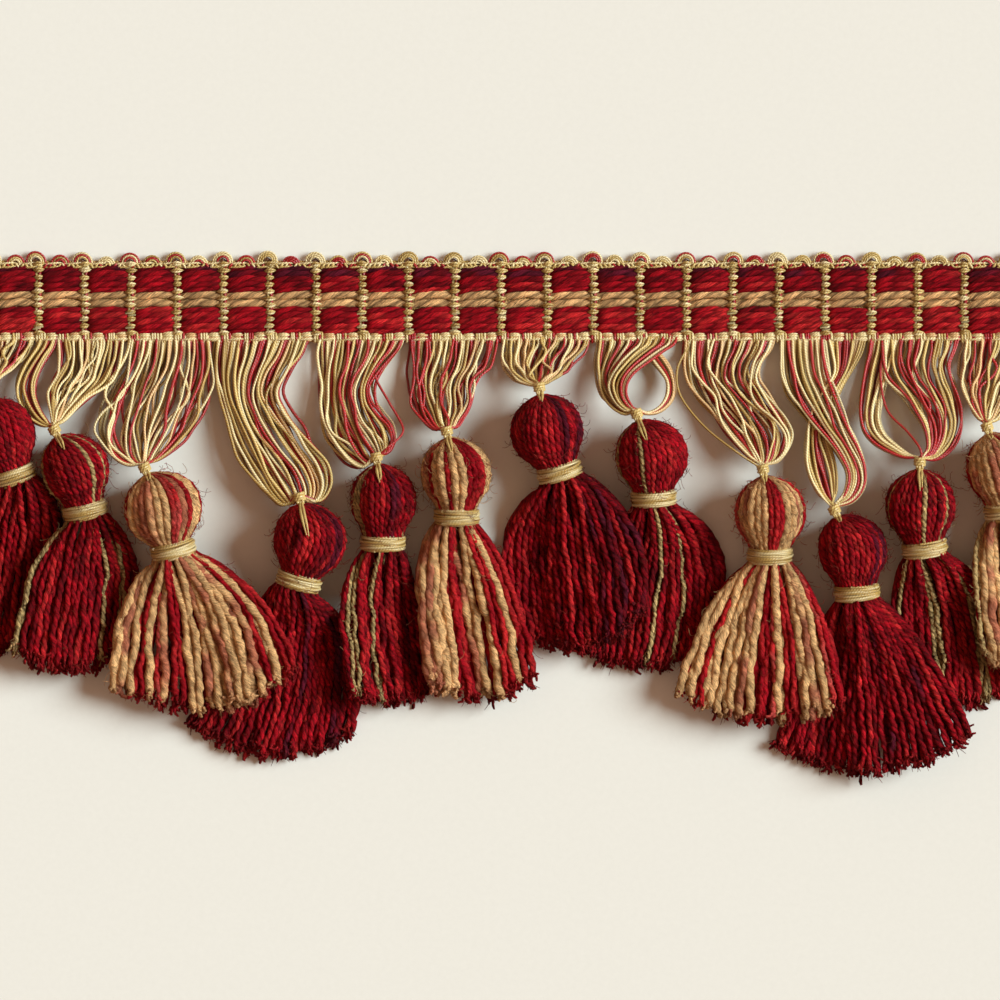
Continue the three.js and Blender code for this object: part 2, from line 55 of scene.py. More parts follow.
# Sizes in millimetres. X runs along the heading, Y up its face and Z away from the table.
BAR_PITCH = 11.1
BARS_PER_TASSEL = 2
TASSEL_COUNT = 12
BAR_COUNT = TASSEL_COUNT * BARS_PER_TASSEL
CLUSTER_PITCH = BAR_PITCH * BARS_PER_TASSEL
HEADING_LENGTH = CLUSTER_PITCH * TASSEL_COUNT
HEADING_FOOT = -10.1

# The levels that no point of a thread lies under, on the table and over the heading's ground.
TABLE_FLOOR = 0.1
GROUND_FLOOR = 0.5

Values = np.ndarray | float
Feed = bpy.types.NodeSocket | float | tuple


def smooth_share(value: Values, low: float, high: float) -> Values:
    """A smooth rise from 0 at low to 1 at high."""
    share = np.clip((value - low) / (high - low), 0.0, 1.0)
    return share * share * (3.0 - 2.0 * share)


def mix(first: Values, second: Values, share: Values) -> Values:
    """The value that lies at a share of the way from first to second."""
    return first + (second - first) * share


def unit(vector: np.ndarray) -> np.ndarray:
    """The vector at length one."""
    return vector / np.linalg.norm(vector)


def linear(red: int, green: int, blue: int) -> tuple[float, float, float]:
    """Turns a screen colour into the linear values that a shader takes.

    Args:
        red: The screen's red, from 0 to 255.
        green: Its green.
        blue: Its blue.

    Returns:
        The linear red, green and blue.
    """
    screen = np.array([red, green, blue]) / 255.0
    low = screen / 12.92
    high = ((screen + 0.055) / 1.055) ** 2.4
    return tuple(float(x) for x in np.where(screen <= 0.04045, low, high))


class Dye(Enum):
    """The dyes of the wool and of the silky thread."""

    DEEP = linear(114, 3, 15)
    WINE = linear(158, 10, 24)
    SCARLET = linear(190, 36, 38)
    PURPLE = linear(92, 16, 34)
    OLIVE = linear(194, 160, 106)
    TAN = linear(218, 168, 114)
    BLUSH = linear(178, 104, 76)
    ROSE = linear(200, 74, 66)
    CREAM = linear(244, 218, 160)
    GOLD = linear(218, 184, 112)
    MOSS = linear(190, 152, 82)
    BEIGE = linear(230, 184, 126)
    THREAD_RED = linear(182, 32, 32)

    @property
    def colour(self) -> np.ndarray:
        """The dye as linear red, green and blue."""
        return np.array(self.value)


@dataclass(frozen=True)
class Spin:
    """How a yarn is spun: its radius, and the length of one full turn of its plies."""

    radius: float
    turn_length: float


THICK = Spin(radius=1.1, turn_length=6.4)
MIDDLING = Spin(radius=0.74, turn_length=4.4)
FINE = Spin(radius=0.62, turn_length=3.4)


class Yarn(Enum):
    """The wool yarns, each with the dyes that it drifts between."""

    CRIMSON = (Dye.WINE, Dye.DEEP)
    BRIGHT = (Dye.WINE, Dye.SCARLET)
    RUBY = (Dye.SCARLET, Dye.WINE)
    PLUM = (Dye.DEEP, Dye.PURPLE)
    VIOLET = (Dye.PURPLE, Dye.DEEP)
    ROSY = (Dye.ROSE, Dye.SCARLET)
    OLIVE = (Dye.OLIVE, Dye.OLIVE)
    TAN = (Dye.TAN, Dye.TAN)
    BLUSH = (Dye.BLUSH, Dye.TAN)

    @property
    def is_pale(self) -> bool:
        """Whether it is one of the thick and downy pale yarns."""
        return self in (Yarn.TAN, Yarn.BLUSH)

    @property
    def spin(self) -> Spin:
        """How it is spun."""
        if self.is_pale:
            return THICK
        return FINE if self is Yarn.OLIVE else MIDDLING


YARN_LETTERS = {
    "c": (Yarn.CRIMSON, Yarn.BRIGHT, Yarn.CRIMSON),
    "r": (Yarn.BRIGHT, Yarn.RUBY),
    "p": (Yarn.VIOLET, Yarn.PLUM),
    "o": (Yarn.OLIVE,),
    "t": (Yarn.TAN,),
    "b": (Yarn.BLUSH,),
    "k": (Yarn.ROSY,),
}

# How many places a smooth path has between two of its given points, before it is stepped evenly.
PATH_SAMPLES = 12

# The waves that a random wander adds up: each one's share of the wave's length, and its height.
WANDER_WAVES = ((1.0, 0.7), (0.53, 0.45), (0.31, 0.22))


def through(points: Sequence[Sequence[float]] | np.ndarray, step: float) -> np.ndarray:
    """A smooth path through points, with points of its own at even steps along it.

    Args:
        points: The points that the path passes.
        step: The distance from one point to the next, in millimetres.

    Returns:
        The path's points.
    """
    knots = np.asarray(points, float)
    padded = np.vstack([2 * knots[0] - knots[1], knots, 2 * knots[-1] - knots[-2]])
    share = np.linspace(0.0, 1.0, PATH_SAMPLES, endpoint=False)[:, None]
    pieces = []
    for a, b, c, d in zip(padded[:-3], padded[1:-2], padded[2:-1], padded[3:]):
        pieces.append(
            0.5 * (2 * b + (c - a) * share + (2 * a - 5 * b + 4 * c - d) * share**2
                   + (3 * b - a - 3 * c + d) * share**3)
        )
    return evenly(np.vstack([*pieces, knots[-1:]]), step)


def lengths_along(path: np.ndarray) -> np.ndarray:
    """The distance along a path at each of its points."""
    return np.concatenate([[0.0], np.cumsum(np.linalg.norm(np.diff(path, axis=0), axis=1))])


def evenly(path: np.ndarray, step: float) -> np.ndarray:
    """The same path with points at even steps.

    Args:
        path: The path's points.
        step: The distance from one new point to the next.

    Returns:
        The new points, at least three of them.
    """
    along = lengths_along(path)
    count = max(int(round(along[-1] / step)) + 1, 3)
    wanted = np.linspace(0.0, along[-1], count)
    return np.column_stack([np.interp(wanted, along, path[:, axis]) for axis in range(3)])


def wander(along: np.ndarray, wave: float, rng: np.random.Generator) -> np.ndarray:
    """A smooth random wave of about unit height.

    Args:
        along: Distances along a path.
        wave: The usual length of a wave.
        rng: The source of randomness.

    Returns:
        The wave's height at each distance.
    """
    total = np.zeros_like(along)
    for share, height in WANDER_WAVES:
        total += height * np.sin(FULL_TURN * along / (wave * share) + rng.uniform(0, FULL_TURN))
    return total


class NodeKit:
    """Adds and links nodes in a tree, with sockets and numbers as inputs."""

    def __init__(self, tree: bpy.types.NodeTree) -> None:
        """Keeps the tree's nodes and links."""
        self.nodes = tree.nodes
        self.links = tree.links

    def feed(self, socket: bpy.types.NodeSocket, value: Feed) -> None:
        """Links a socket to an input, or sets the input to a value.

        Args:
            socket: The input.
            value: The socket that feeds it, or its value.
        """
        if isinstance(value, bpy.types.NodeSocket):
            self.links.new(value, socket)
        else:
            socket.default_value = value

    def add(
        self, kind: str, inputs: dict[str | int, Feed] | None = None, **settings: object
    ) -> bpy.types.NodeOutputs:
        """Adds a node.

        Args:
            kind: Its type.
            inputs: What its inputs take, by their names or numbers.
            settings: Its own settings, such as its operation.

        Returns:
            Its outputs.
        """
        node = self.nodes.new(kind)
        for name, value in settings.items():
            setattr(node, name, value)
        for name, value in (inputs or {}).items():
            self.feed(node.inputs[name], value)
        return node.outputs

    def attribute(self, name: str, socket: str) -> bpy.types.NodeSocket:
        """One output of an attribute of the piece."""
        return self.add("ShaderNodeAttribute", attribute_name=name)[socket]

    def place(self) -> bpy.types.NodeSocket:
        """The place on the piece, in metres."""
        return self.add("ShaderNodeTexCoord")["Object"]

    def math(self, operation: str, *values: Feed) -> bpy.types.NodeSocket:
        """A Math node over sockets and numbers."""
        return self.add("ShaderNodeMath", dict(enumerate(values)), operation=operation)[0]

    def vector(self, *values: Feed) -> bpy.types.NodeSocket:
        """A vector from its X, Y and Z."""
        return self.add("ShaderNodeCombineXYZ", dict(enumerate(values)))[0]

    def split(self, vector: bpy.types.NodeSocket) -> bpy.types.NodeOutputs:
        """A vector's X, Y and Z outputs."""
        return self.add("ShaderNodeSeparateXYZ", {0: vector})

    def added(self, first: bpy.types.NodeSocket, second: bpy.types.NodeSocket) -> bpy.types.NodeSocket:
        """The sum of two vectors."""
        return self.add("ShaderNodeVectorMath", {0: first, 1: second}, operation="ADD")[0]

    def scaled(self, vector: bpy.types.NodeSocket, amount: Feed) -> bpy.types.NodeSocket:
        """A vector or colour times an amount."""
        return self.add("ShaderNodeVectorMath", {0: vector, "Scale": amount}, operation="SCALE")[0]

    def noise(self, where: bpy.types.NodeSocket, scale: float, detail: float) -> bpy.types.NodeSocket:
        """A noise over a place."""
        inputs = {"Vector": where, "Scale": scale, "Detail": detail, "Roughness": 0.65}
        return self.add("ShaderNodeTexNoise", inputs)["Fac"]

    def ranged(
        self, value: bpy.types.NodeSocket, span: tuple[float, float], result: tuple[float, float]
    ) -> bpy.types.NodeSocket:
        """Maps a value from one range to another, held at its ends.

        Args:
            value: The value.
            span: The range that it comes from.
            result: The range that it goes to.

        Returns:
            The mapped value.
        """
        names = ("Value", "From Min", "From Max", "To Min", "To Max")
        return self.add("ShaderNodeMapRange", dict(zip(names, (value, *span, *result))))["Result"]

    def blended(
        self, share: bpy.types.NodeSocket, first: tuple[float, ...], second: tuple[float, ...]
    ) -> bpy.types.NodeSocket:
        """A mix of two colours.

        Args:
            share: The second colour's share.
            first: The first colour, as linear red, green and blue.
            second: The second colour.

        Returns:
            The mixed colour.
        """
        node = self.nodes.new("ShaderNodeMix")
        node.data_type = "RGBA"
        self.links.new(share, node.inputs["Factor"])
        colours = [socket for socket in node.inputs if socket.type == "RGBA"]
        for socket, colour in zip(colours, (first, second)):
            socket.default_value = (*colour, 1.0)
        return next(socket for socket in node.outputs if socket.type == "RGBA")


@dataclass(frozen=True)
class SharedGroup:
    """A node group that is built at its first use.

    Its sockets are tables of names and types, and fill gives each output from a kit and the inputs.
    """

    name: str
    kind: str
    inputs: dict[str, str]
    outputs: dict[str, str]
    fill: Callable[[NodeKit, bpy.types.NodeOutputs], dict[str, bpy.types.NodeSocket]]

    @property
    def tree(self) -> bpy.types.NodeTree:
        """The group's tree."""
        return bpy.data.node_groups.get(self.name) or self._build()

    def _build(self) -> bpy.types.NodeTree:
        """Builds the group.

        Returns:
            Its tree.
        """
        tree = bpy.data.node_groups.new(self.name, self.kind)
        for side, sockets in (("INPUT", self.inputs), ("OUTPUT", self.outputs)):
            for name, kind in sockets.items():
                tree.interface.new_socket(name, in_out=side, socket_type=f"NodeSocket{kind}")
        kit = NodeKit(tree)
        found = self.fill(kit, kit.add("NodeGroupInput"))
        kit.add("NodeGroupOutput", found)
        return tree


def fill_section(kit: NodeKit, entry: bpy.types.NodeOutputs) -> dict[str, bpy.types.NodeSocket]:
    """Sweeps a circle with two lobes along each strand at its radius, with closed ends.

    Args:
        kit: The group's kit.
        entry: Its inputs.

    Returns:
        Its outputs.
    """
    circle = kit.add("GeometryNodeCurvePrimitiveCircle", {"Radius": 1.0, "Resolution": entry["Sides"]})
    share = kit.math("DIVIDE", kit.add("GeometryNodeInputIndex")[0], entry["Sides"])
    wave = kit.math("COSINE", kit.math("MULTIPLY", share, 2 * FULL_TURN))
    reach = kit.math("MULTIPLY_ADD", wave, entry["Lobe"], 1.0)
    place = kit.scaled(kit.add("GeometryNodeInputPosition")[0], reach)
    lobed = kit.add("GeometryNodeSetPosition", {"Geometry": circle[0], "Position": place})
    sweep = kit.add(
        "GeometryNodeCurveToMesh",
        {
            "Fill Caps": True,
            "Curve": entry["Geometry"],
            "Profile Curve": lobed[0],
            "Scale": kit.add("GeometryNodeInputRadius")[0],
        },
    )
    return {"Geometry": kit.add("GeometryNodeSetShadeSmooth", {0: sweep[0]})[0]}


STRAND_SECTION = SharedGroup(
    name="strand_section",
    kind="GeometryNodeTree",
    inputs={"Geometry": "Geometry", "Sides": "Int", "Lobe": "Float"},
    outputs={"Geometry": "Geometry"},
    fill=fill_section,
)


@dataclass(frozen=True)
class Section:
    """A strand's cross section: how many sides it has and how far its two plies stand out."""

    sides: int
    lobe: float = 0.0


@dataclass
class Strand:
    """One strand, with its path in millimetres and the lay of the plies that its finish draws."""

    path: np.ndarray
    radius: np.ndarray
    turn: np.ndarray
    shade: np.ndarray
    lay: float


def placed(name: str, data: bpy.types.ID) -> bpy.types.Object:
    """A new object in the scene.

    Args:
        name: Its name.
        data: Its mesh, curve, light or camera.

    Returns:
        The object.
    """
    item = bpy.data.objects.new(name, data)
    bpy.context.scene.collection.objects.link(item)
    return item


def write_attribute(mesh: bpy.types.Mesh, name: str, kind: str, values: np.ndarray) -> None:
    """Writes one of the attributes that the finishes read, at each of a mesh's points.

    Args:
        mesh: The mesh.
        name: The attribute's name.
        kind: Its type.
        values: Its values, a row for each point.
    """
    fields = {"FLOAT_COLOR": "color", "FLOAT_VECTOR": "vector", "FLOAT": "value"}
    layer = mesh.attributes.new(name, kind, "POINT")
    layer.data.foreach_set(fields[kind], values.astype(np.float32).ravel())


@dataclass
class Skein:
    """Strands of one section that become one mesh."""

    section: Section
    strands: list[Strand] = field(default_factory=list)

    def lay(
        self,
        path: np.ndarray,
        radius: Values,
        shade: np.ndarray,
        turn_length: float = 0.0,
        phase: float = 0.0,
        drawn_length: float = 0.0,
    ) -> None:
        """Adds a strand.

        Args:
            path: Its points in millimetres.
            radius: Its radius, for the whole strand or at each point.
            shade: Its linear colour, for the whole strand or at each point.
            turn_length: The length of one full turn of its shaped plies, or 0 for none.
            phase: The turn that it starts at.
            drawn_length: The length of one full turn of plies that the finish draws, or 0 for none.
        """
        count = len(path)
        turns = np.full(count, phase)
        if turn_length:
            turns = phase - FULL_TURN * lengths_along(path) / turn_length
        self.strands.append(
            Strand(
                path,
                np.broadcast_to(radius, count),
                turns,
                np.broadcast_to(shade, (count, 3)),
                FULL_TURN / (drawn_length * MM) if drawn_length else 0.0,
            )
        )

    def mesh(self, name: str, floor: float) -> bpy.types.Mesh:
        """Turns the strands into one mesh with the attributes that the finishes read.

        Args:
            name: The mesh's name.
            floor: The level in millimetres that no point lies under.

        Returns:
            The mesh, in metres.
        """
        curve = self._curve(name)
        holder = placed(name, curve)
        modifier = holder.modifiers.new("section", "NODES")
        modifier.node_group = STRAND_SECTION.tree
        values = {"Sides": self.section.sides, "Lobe": self.section.lobe}
        for item in modifier.node_group.interface.items_tree:
            if item.in_out == "INPUT" and item.name in values:
                modifier[item.identifier] = values[item.name]
        evaluated = holder.evaluated_get(bpy.context.evaluated_depsgraph_get())
        mesh = bpy.data.meshes.new_from_object(evaluated)
        bpy.data.objects.remove(holder)
        bpy.data.curves.remove(curve)
        self._write_attributes(mesh)
        places = np.empty(len(mesh.vertices) * 3, np.float32)
        mesh.vertices.foreach_get("co", places)
        places[2::3] = np.maximum(places[2::3], floor * MM)
        mesh.vertices.foreach_set("co", places)
        mesh.name = name
        mesh.update()
        return mesh

    def _curve(self, name: str) -> bpy.types.Curve:
        """The strands as splines.

        Args:
            name: The curve's name.

        Returns:
            The curve, in metres.
        """
        curve = bpy.data.curves.new(name, "CURVE")
        curve.dimensions = "3D"
        curve.twist_mode = "MINIMUM"
        for strand in self.strands:
            spline = curve.splines.new("POLY")
            spline.points.add(len(strand.path) - 1)
            places = np.ones((len(strand.path), 4), np.float32)
            places[:, :3] = strand.path * MM
            spline.points.foreach_set("co", places.ravel())
            spline.points.foreach_set("radius", (strand.radius * MM).astype(np.float32))
            spline.points.foreach_set("tilt", strand.turn.astype(np.float32))
        return curve

    def _write_attributes(self, mesh: bpy.types.Mesh) -> None:
        """Writes each point's shade, its place along and round its strand, and the lay of its plies.

        Args:
            mesh: The mesh of the strands.
        """
        sides = self.section.sides
        round_turn = np.arange(sides) * FULL_TURN / sides
        courses = []
        for strand in self.strands:
            course = np.empty((len(strand.path), sides, 3))
            course[:, :, 0] = lengths_along(strand.path)[:, None] * MM
            course[:, :, 1] = np.cos(round_turn)
            course[:, :, 2] = np.sin(round_turn)
            courses.append(course.reshape(-1, 3))
        shades = np.vstack([strand.shade for strand in self.strands])
        shades = np.repeat(np.column_stack([shades, np.ones(len(shades))]), sides, axis=0)
        lays = [np.full(len(strand.path) * sides, strand.lay) for strand in self.strands]
        write_attribute(mesh, "shade", "FLOAT_COLOR", shades)
        write_attribute(mesh, "course", "FLOAT_VECTOR", np.vstack(courses))
        write_attribute(mesh, "lay", "FLOAT", np.concatenate(lays))


def piece_of(name: str, meshes: Sequence[bpy.types.Mesh], material: bpy.types.Material) -> bpy.types.Object:
    """Joins meshes into one piece that rides on the part.

    Args:
        name: The piece's name.
        meshes: Its meshes, in metres, which are used up.
        material: Its finish.

    Returns:
        The piece, with its object at the origin.
    """
    objects = []
    for mesh in meshes:
        mesh.materials.clear()
        mesh.materials.append(material)
        objects.append(placed(name, mesh))
    if len(objects) > 1:
        with bpy.context.temp_override(
            active_object=objects[0],
            object=objects[0],
            selected_objects=objects,
            selected_editable_objects=objects,
        ):
            bpy.ops.object.join()
    piece = objects[0]
    piece.name = name
    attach(piece, "root")
    return piece


class Mix(Enum):
    """The three wool mixes of the tassels, each with its slot in the record."""

    CRIMSON = "wool_crimson"
    FLECKED = "wool_flecked"
    TAN = "wool_tan"


def cluster_middle(index: int) -> float:
    """The middle of a cluster's root, along the heading."""
    return (index + 0.5) * CLUSTER_PITCH - HEADING_LENGTH / 2


@dataclass(frozen=True)
class Place:
    """Where one tassel lies: its knot under its cluster, its head beside the knot, and its lean.

    Its other sizes are the same for every tassel. Those of the tie and the neck lie along its axis
    from the middle of its head.
    """

    mix: Mix
    sway: float
    drop: float
    side: float
    radius: float
    lean: float

    half_length = 8.7
    pitch = 7.0
    knot_to_head = 10.6
    flat = 0.2
    ring_rise = 1.0
    tie_middle = 10.1
    neck_end = 13.0

    @property
    def axis(self) -> np.ndarray:
        """The tassel's own axis, from its head towards its skirt."""
        lean, pitch = math.radians(self.lean), math.radians(self.pitch)
        return np.array([
            math.cos(pitch) * math.sin(lean),
            -math.cos(pitch) * math.cos(lean),
            -math.sin(pitch),
        ])

    @property
    def across(self) -> np.ndarray:
        """The direction across the tassel, to its right."""
        return np.array([math.cos(math.radians(self.lean)), math.sin(math.radians(self.lean)), 0.0])

    @property
    def rise(self) -> np.ndarray:
        """The direction out of the tassel's face."""
        return np.cross(self.axis, self.across)

    def ring(self, index: int) -> np.ndarray:
        """The middle of the knot under a cluster."""
        level = self.radius - self.flat + self.ring_rise
        return np.array([cluster_middle(index) + self.sway, HEADING_FOOT - self.drop, level])

    def head(self, index: int) -> np.ndarray:
        """The middle of the head.

        Args:
            index: The cluster that the tassel hangs from.

        Returns:
            The place, in millimetres.
        """
        ring = self.ring(index)
        fall = math.sqrt(self.knot_to_head**2 - self.side**2)
        return np.array([ring[0] + self.side, ring[1] - fall, self.radius - self.flat])

    def tie(self, index: int) -> np.ndarray:
        """The middle of the tie."""
        return self.head(index) + self.axis * self.tie_middle


PLACES = (
    Place(Mix.CRIMSON, sway=-0.3, drop=12.0, side=2.6, radius=8.4, lean=18),
    Place(Mix.FLECKED, sway=-6.9, drop=21.1, side=5.0, radius=8.1, lean=13),
    Place(Mix.TAN, sway=-7.5, drop=30.2, side=4.3, radius=9.3, lean=14),
    Place(Mix.CRIMSON, sway=7.3, drop=37.2, side=2.4, radius=8.9, lean=-15),
    Place(Mix.FLECKED, sway=3.5, drop=27.6, side=1.7, radius=7.7, lean=-1),
    Place(Mix.TAN, sway=-1.9, drop=21.4, side=2.4, radius=8.4, lean=0),
    Place(Mix.CRIMSON, sway=-2.0, drop=11.0, side=1.9, radius=8.6, lean=17),
    Place(Mix.FLECKED, sway=-0.9, drop=17.3, side=3.4, radius=8.6, lean=4),
    Place(Mix.TAN, sway=7.1, drop=30.5, side=1.7, radius=8.4, lean=0),
    Place(Mix.CRIMSON, sway=2.0, drop=40.3, side=4.6, radius=8.2, lean=5),
    Place(Mix.FLECKED, sway=0.2, drop=28.8, side=0.0, radius=8.4, lean=7),
    Place(Mix.TAN, sway=-5.9, drop=20.4, side=3.4, radius=8.2, lean=8),
)


@dataclass(frozen=True)
class Spread:
    """How a skirt spreads from its tie, at its left wing, its middle and its right wing.

    The reach is where its ends lie to the left and right of the tie, and the swell is where its sides
    are drawn to on their way. The drop is how far its ends lie below the tie, the lift how far its
    underside lies above the table, and thick is how thick it is there.
    """

    reach: tuple[float, float]
    swell: tuple[float, float]
    drop: tuple[float, float, float]
    lift: tuple[float, float, float]
    thick: tuple[float, float, float]


SPREADS = (
    Spread((-15.8, 7.0), (-16.0, 16.3), (39.4, 43.0, 40.6), (0, 0, 0), (5.0, 3.6, 2.8)),
    Spread((-17.3, 11.0), (-15.2, 16.3), (34.3, 39.4, 33.1), (4.6, 3.4, 0), (4.0, 5.0, 3.4)),
    Spread((-15.6, 30.0), (-15.0, 26.0), (32.8, 40.0, 29.6), (4.6, 4.2, 7.0), (4.0, 5.0, 4.5)),
    Spread((-27.4, 12.7), (-14.0, 19.0), (34.0, 43.2, 37.7), (0, 0, 0), (3.4, 4.6, 3.0)),
    Spread((-7.6, 11.6), (-13.5, 8.6), (37.0, 39.1, 37.0), (5.8, 1.5, 0), (4.0, 4.5, 3.4)),
    Spread((-6.2, 19.7), (-12.7, 15.0), (42.0, 45.1, 39.6), (4.8, 1.5, 4.2), (4.0, 5.0, 4.0)),
    Spread((-11.0, 20.9), (-19.0, 23.5), (39.1, 43.4, 33.8), (0, 4.0, 7.4), (3.4, 4.5, 4.5)),
    Spread((-19.5, 15.0), (-15.0, 23.0), (35.5, 41.8, 32.6), (0, 0, 0), (3.2, 4.6, 3.2)),
    Spread((-23.0, 18.5), (-17.3, 14.2), (33.4, 40.6, 36.6), (4.2, 4.2, 6.0), (4.0, 5.0, 4.5)),
    Spread((-20.0, 28.7), (-12.0, 17.8), (37.2, 44.4, 34.8), (0, 3.0, 5.0), (3.2, 5.0, 4.5)),
    Spread((-8.4, 20.9), (-9.0, 21.4), (35.8, 38.9, 34.6), (0, 0, 0), (3.2, 4.4, 3.0)),
    Spread((-5.0, 18.2), (-11.3, 16.6), (36.2, 41.0, 35.0), (6.0, 2.0, 0), (4.0, 5.0, 5.0)),
)


@dataclass(frozen=True)
class Order:
    """The yarns of a tassel from left to right, over its head and over its skirt, by their letters."""

    head: str
    skirt: str


ORDERS = (
    Order(head="ppcccrccccrcccccc", skirt="ppccrcccrccrcc"),
    Order(head="rocrccrccrcocrocc", skirt="occrccrccrccocrocc"),
    Order(head="trtbbbttkkbrttr", skirt="tbtrtkbrrttbtbttbrtrr"),
    Order(head="ccrccrcccrccpcppcc", skirt="ccrccrccccrccpccrccppcc"),
    Order(head="ccoorrccrcppcccoc", skirt="cooccorccrcpcc"),
    Order(head="tbrttrttrrrrtt", skirt="bbttrrbttrrtrr"),
    Order(head="ccrcccrccrcppccppc", skirt="cccrcccrccrccrcpcpprpp"),
    Order(head="coccrccocrccrcccrc", skirt="ccrccrccrcocrcoccrccc"),
    Order(head="rkbbtttrrrttbtr", skirt="ttrtttbtrrktrrtbtkr"),
    Order(head="crccrccrccrccpcppc", skirt="ccccrcccrccrcccpccrccpcrcc"),
    Order(head="coccrccrcocrccocrc", skirt="coccrccoorccrcoocrc"),
    Order(head="rtbttbbtrbtbr", skirt="otbtrtbbtbtr"),
)


def pick_yarn(letter: str, rng: np.random.Generator) -> Yarn:
    """One of the yarns that a letter stands for."""
    yarns = YARN_LETTERS[letter]
    return yarns[rng.integers(len(yarns))]


# The length in millimetres over which a yarn drifts from one of its dyes to the other.
DYE_DRIFT = 24.0


def yarn_shade(yarn: Yarn, along: np.ndarray, rng: np.random.Generator) -> np.ndarray:
    """A yarn's colour at each point, drifting between its dyes.

    Args:
        yarn: The yarn.
        along: Distances along it.
        rng: The source of randomness.

    Returns:
        The linear colours.
    """
    first, second = (dye.colour for dye in yarn.value)
    blend = smooth_share(wander(along, DYE_DRIFT, rng), -0.2, 0.9)[:, None]
    return mix(first, second, blend) * rng.uniform(0.86, 1.14)


def along_at(route: np.ndarray, shares: np.ndarray) -> np.ndarray:
    """An evenly stepped route's places at shares of its length."""
    steps = np.linspace(0, 1, len(route))
    return np.column_stack([np.interp(shares, steps, route[:, axis]) for axis in range(route.shape[1])])


Route = tuple[tuple[float, float], ...]


@dataclass(frozen=True)
class Sheaf:
    """Part of a loop cluster, by its left and right threads.

    Places are across from the middle of the cluster's root, and down from the heading's foot.
    """

    left: Route
    right: Route
    count: int
    level: float = 0.0


CLUSTERS: tuple[tuple[Sheaf, ...], ...] = (
    (
        Sheaf(((-11, 0), (-9, 5.5), (-5, 10)), ((10, 0), (6.5, 5), (2, 9)), 48),
    ),
    (
        Sheaf(((-11, 0), (-15, 6), (-16.5, 11), (-15.5, 15), (-12.5, 19)),
              ((-6.5, 0), (-10.5, 7), (-11.5, 12), (-9.5, 17.5)), 12, 0.4),
        Sheaf(((-7, 0), (-6.5, 6.5), (-8.5, 12), (-8, 17)),
              ((9.5, 0), (8.5, 4.5), (6.5, 9.5), (2, 13), (-2, 16.5)), 38),
    ),
    (
        Sheaf(((-11.5, 0), (-13.5, 6.5), (-17.5, 13), (-19, 18), (-18.5, 23), (-16, 26.5), (-13.5, 29)),
              ((8, 0), (8.5, 4.5), (8, 12), (6, 18.5), (1.5, 24), (-3, 27.5)), 52),
    ),
    (
        Sheaf(((-13, 0), (-13.5, 6.5), (-12, 14), (-10, 21), (-7, 28), (-3.5, 33.5), (0.5, 37.5),
               (4.5, 39.5)),
              ((10, 0), (7, 4.5), (3.5, 9), (3, 13), (6, 18), (10.5, 24), (14.5, 30), (15.2, 34.5),
               (13, 38)), 52),
    ),
    (
        Sheaf(((-10.5, 0), (-10.5, 7.5), (-10, 16), (-8.7, 23), (-4, 29), (0, 30.2)),
              ((10.5, 0), (4.5, 7), (2.8, 11.5), (4.5, 15.5), (8, 20.5), (8, 24), (5.5, 27.5)), 52),
    ),
    (
        Sheaf(((-11, 0), (-11, 8.5), (-10.5, 14.5), (-8, 18.7), (-5, 21)),
              ((10.5, 0), (8.7, 5.3), (5.5, 9), (4.6, 15), (2.2, 18.7), (0, 21)), 50),
    ),
    (
        Sheaf(((-11, 0), (-10.5, 4.5), (-8, 9)), ((10.3, 0), (7.6, 3.8), (4.3, 7.2)), 48),
    ),
    (
        Sheaf(((0, 0), (3, 5), (6.2, 9), (6, 13.5), (3.2, 16.6)),
              ((2.5, 0), (6.8, 5.3), (8.3, 10), (7.8, 14), (4.2, 17)), 11, -0.6),
        Sheaf(((-10.3, 0), (-10.7, 7.7), (-8.6, 14), (-4.7, 17.3)),
              ((0, 0), (-6.7, 7.2), (-3.8, 12), (-1.9, 16.3)), 18),
        Sheaf(((0, 0), (-6.2, 6.2), (-8, 11), (-5.2, 15.8)),
              ((9.2, 0), (3.7, 3.6), (-2.3, 8.4), (-3.3, 13), (-1.4, 16.3)), 22, 1.4),
    ),
    (
        Sheaf(((-11.6, 0), (-11.6, 6), (-9.4, 12), (-4, 19), (2, 26)),
              ((10.5, 0), (6.4, 5.8), (6.4, 9), (10, 14.4), (13.4, 20), (14, 24), (11.7, 28)), 52),
    ),
    (
        Sheaf(((0, 0), (1.7, 7.2), (-2.3, 14), (-4.5, 21), (-4.5, 29), (-2, 36)),
              ((10, 0), (6.1, 7.2), (3.2, 13), (0.3, 21), (2.7, 29), (2.7, 36)), 20, -0.4),
        Sheaf(((-11, 0), (-10.7, 7.7), (-9, 12.5), (-4, 19), (1.7, 25.5), (5, 32), (3.7, 37.5)),
              ((0, 0), (1.3, 7.7), (3.9, 14.4), (5.6, 19.7), (8.5, 26.5), (9.7, 33), (6.8, 38)), 32, 1.6),
    ),
    (
        Sheaf(((-11.8, 0), (-13.5, 10), (-14.2, 18.7), (-12.3, 23.3), (-7.5, 26.4), (-3, 28)),
              ((-4, 0), (-7.5, 10), (-9, 17.5), (-8, 21.6), (-4.6, 25), (-1.7, 27.4)), 16, -0.4),
        Sheaf(((-9.4, 0), (-7.5, 8.6), (-3, 14.4), (1, 20.2), (2, 25.4)),
              ((10.3, 0), (7.6, 6.2), (9.8, 13.4), (11, 19.7), (8.8, 25), (4, 28.3)), 35, 0.6),
    ),
    (
        Sheaf(((-11, 0), (-11.7, 6.7), (-11.2, 12), (-9, 17)),
              ((11.3, 0), (8.5, 6.7), (2.5, 13.4), (-2.8, 18.2)), 50),
    ),
)


@dataclass(frozen=True)
class Stray:
    """A single thread that stands apart from its cluster, with its places as a sheaf has them."""

    cluster: int
    dye: Dye
    places: Route


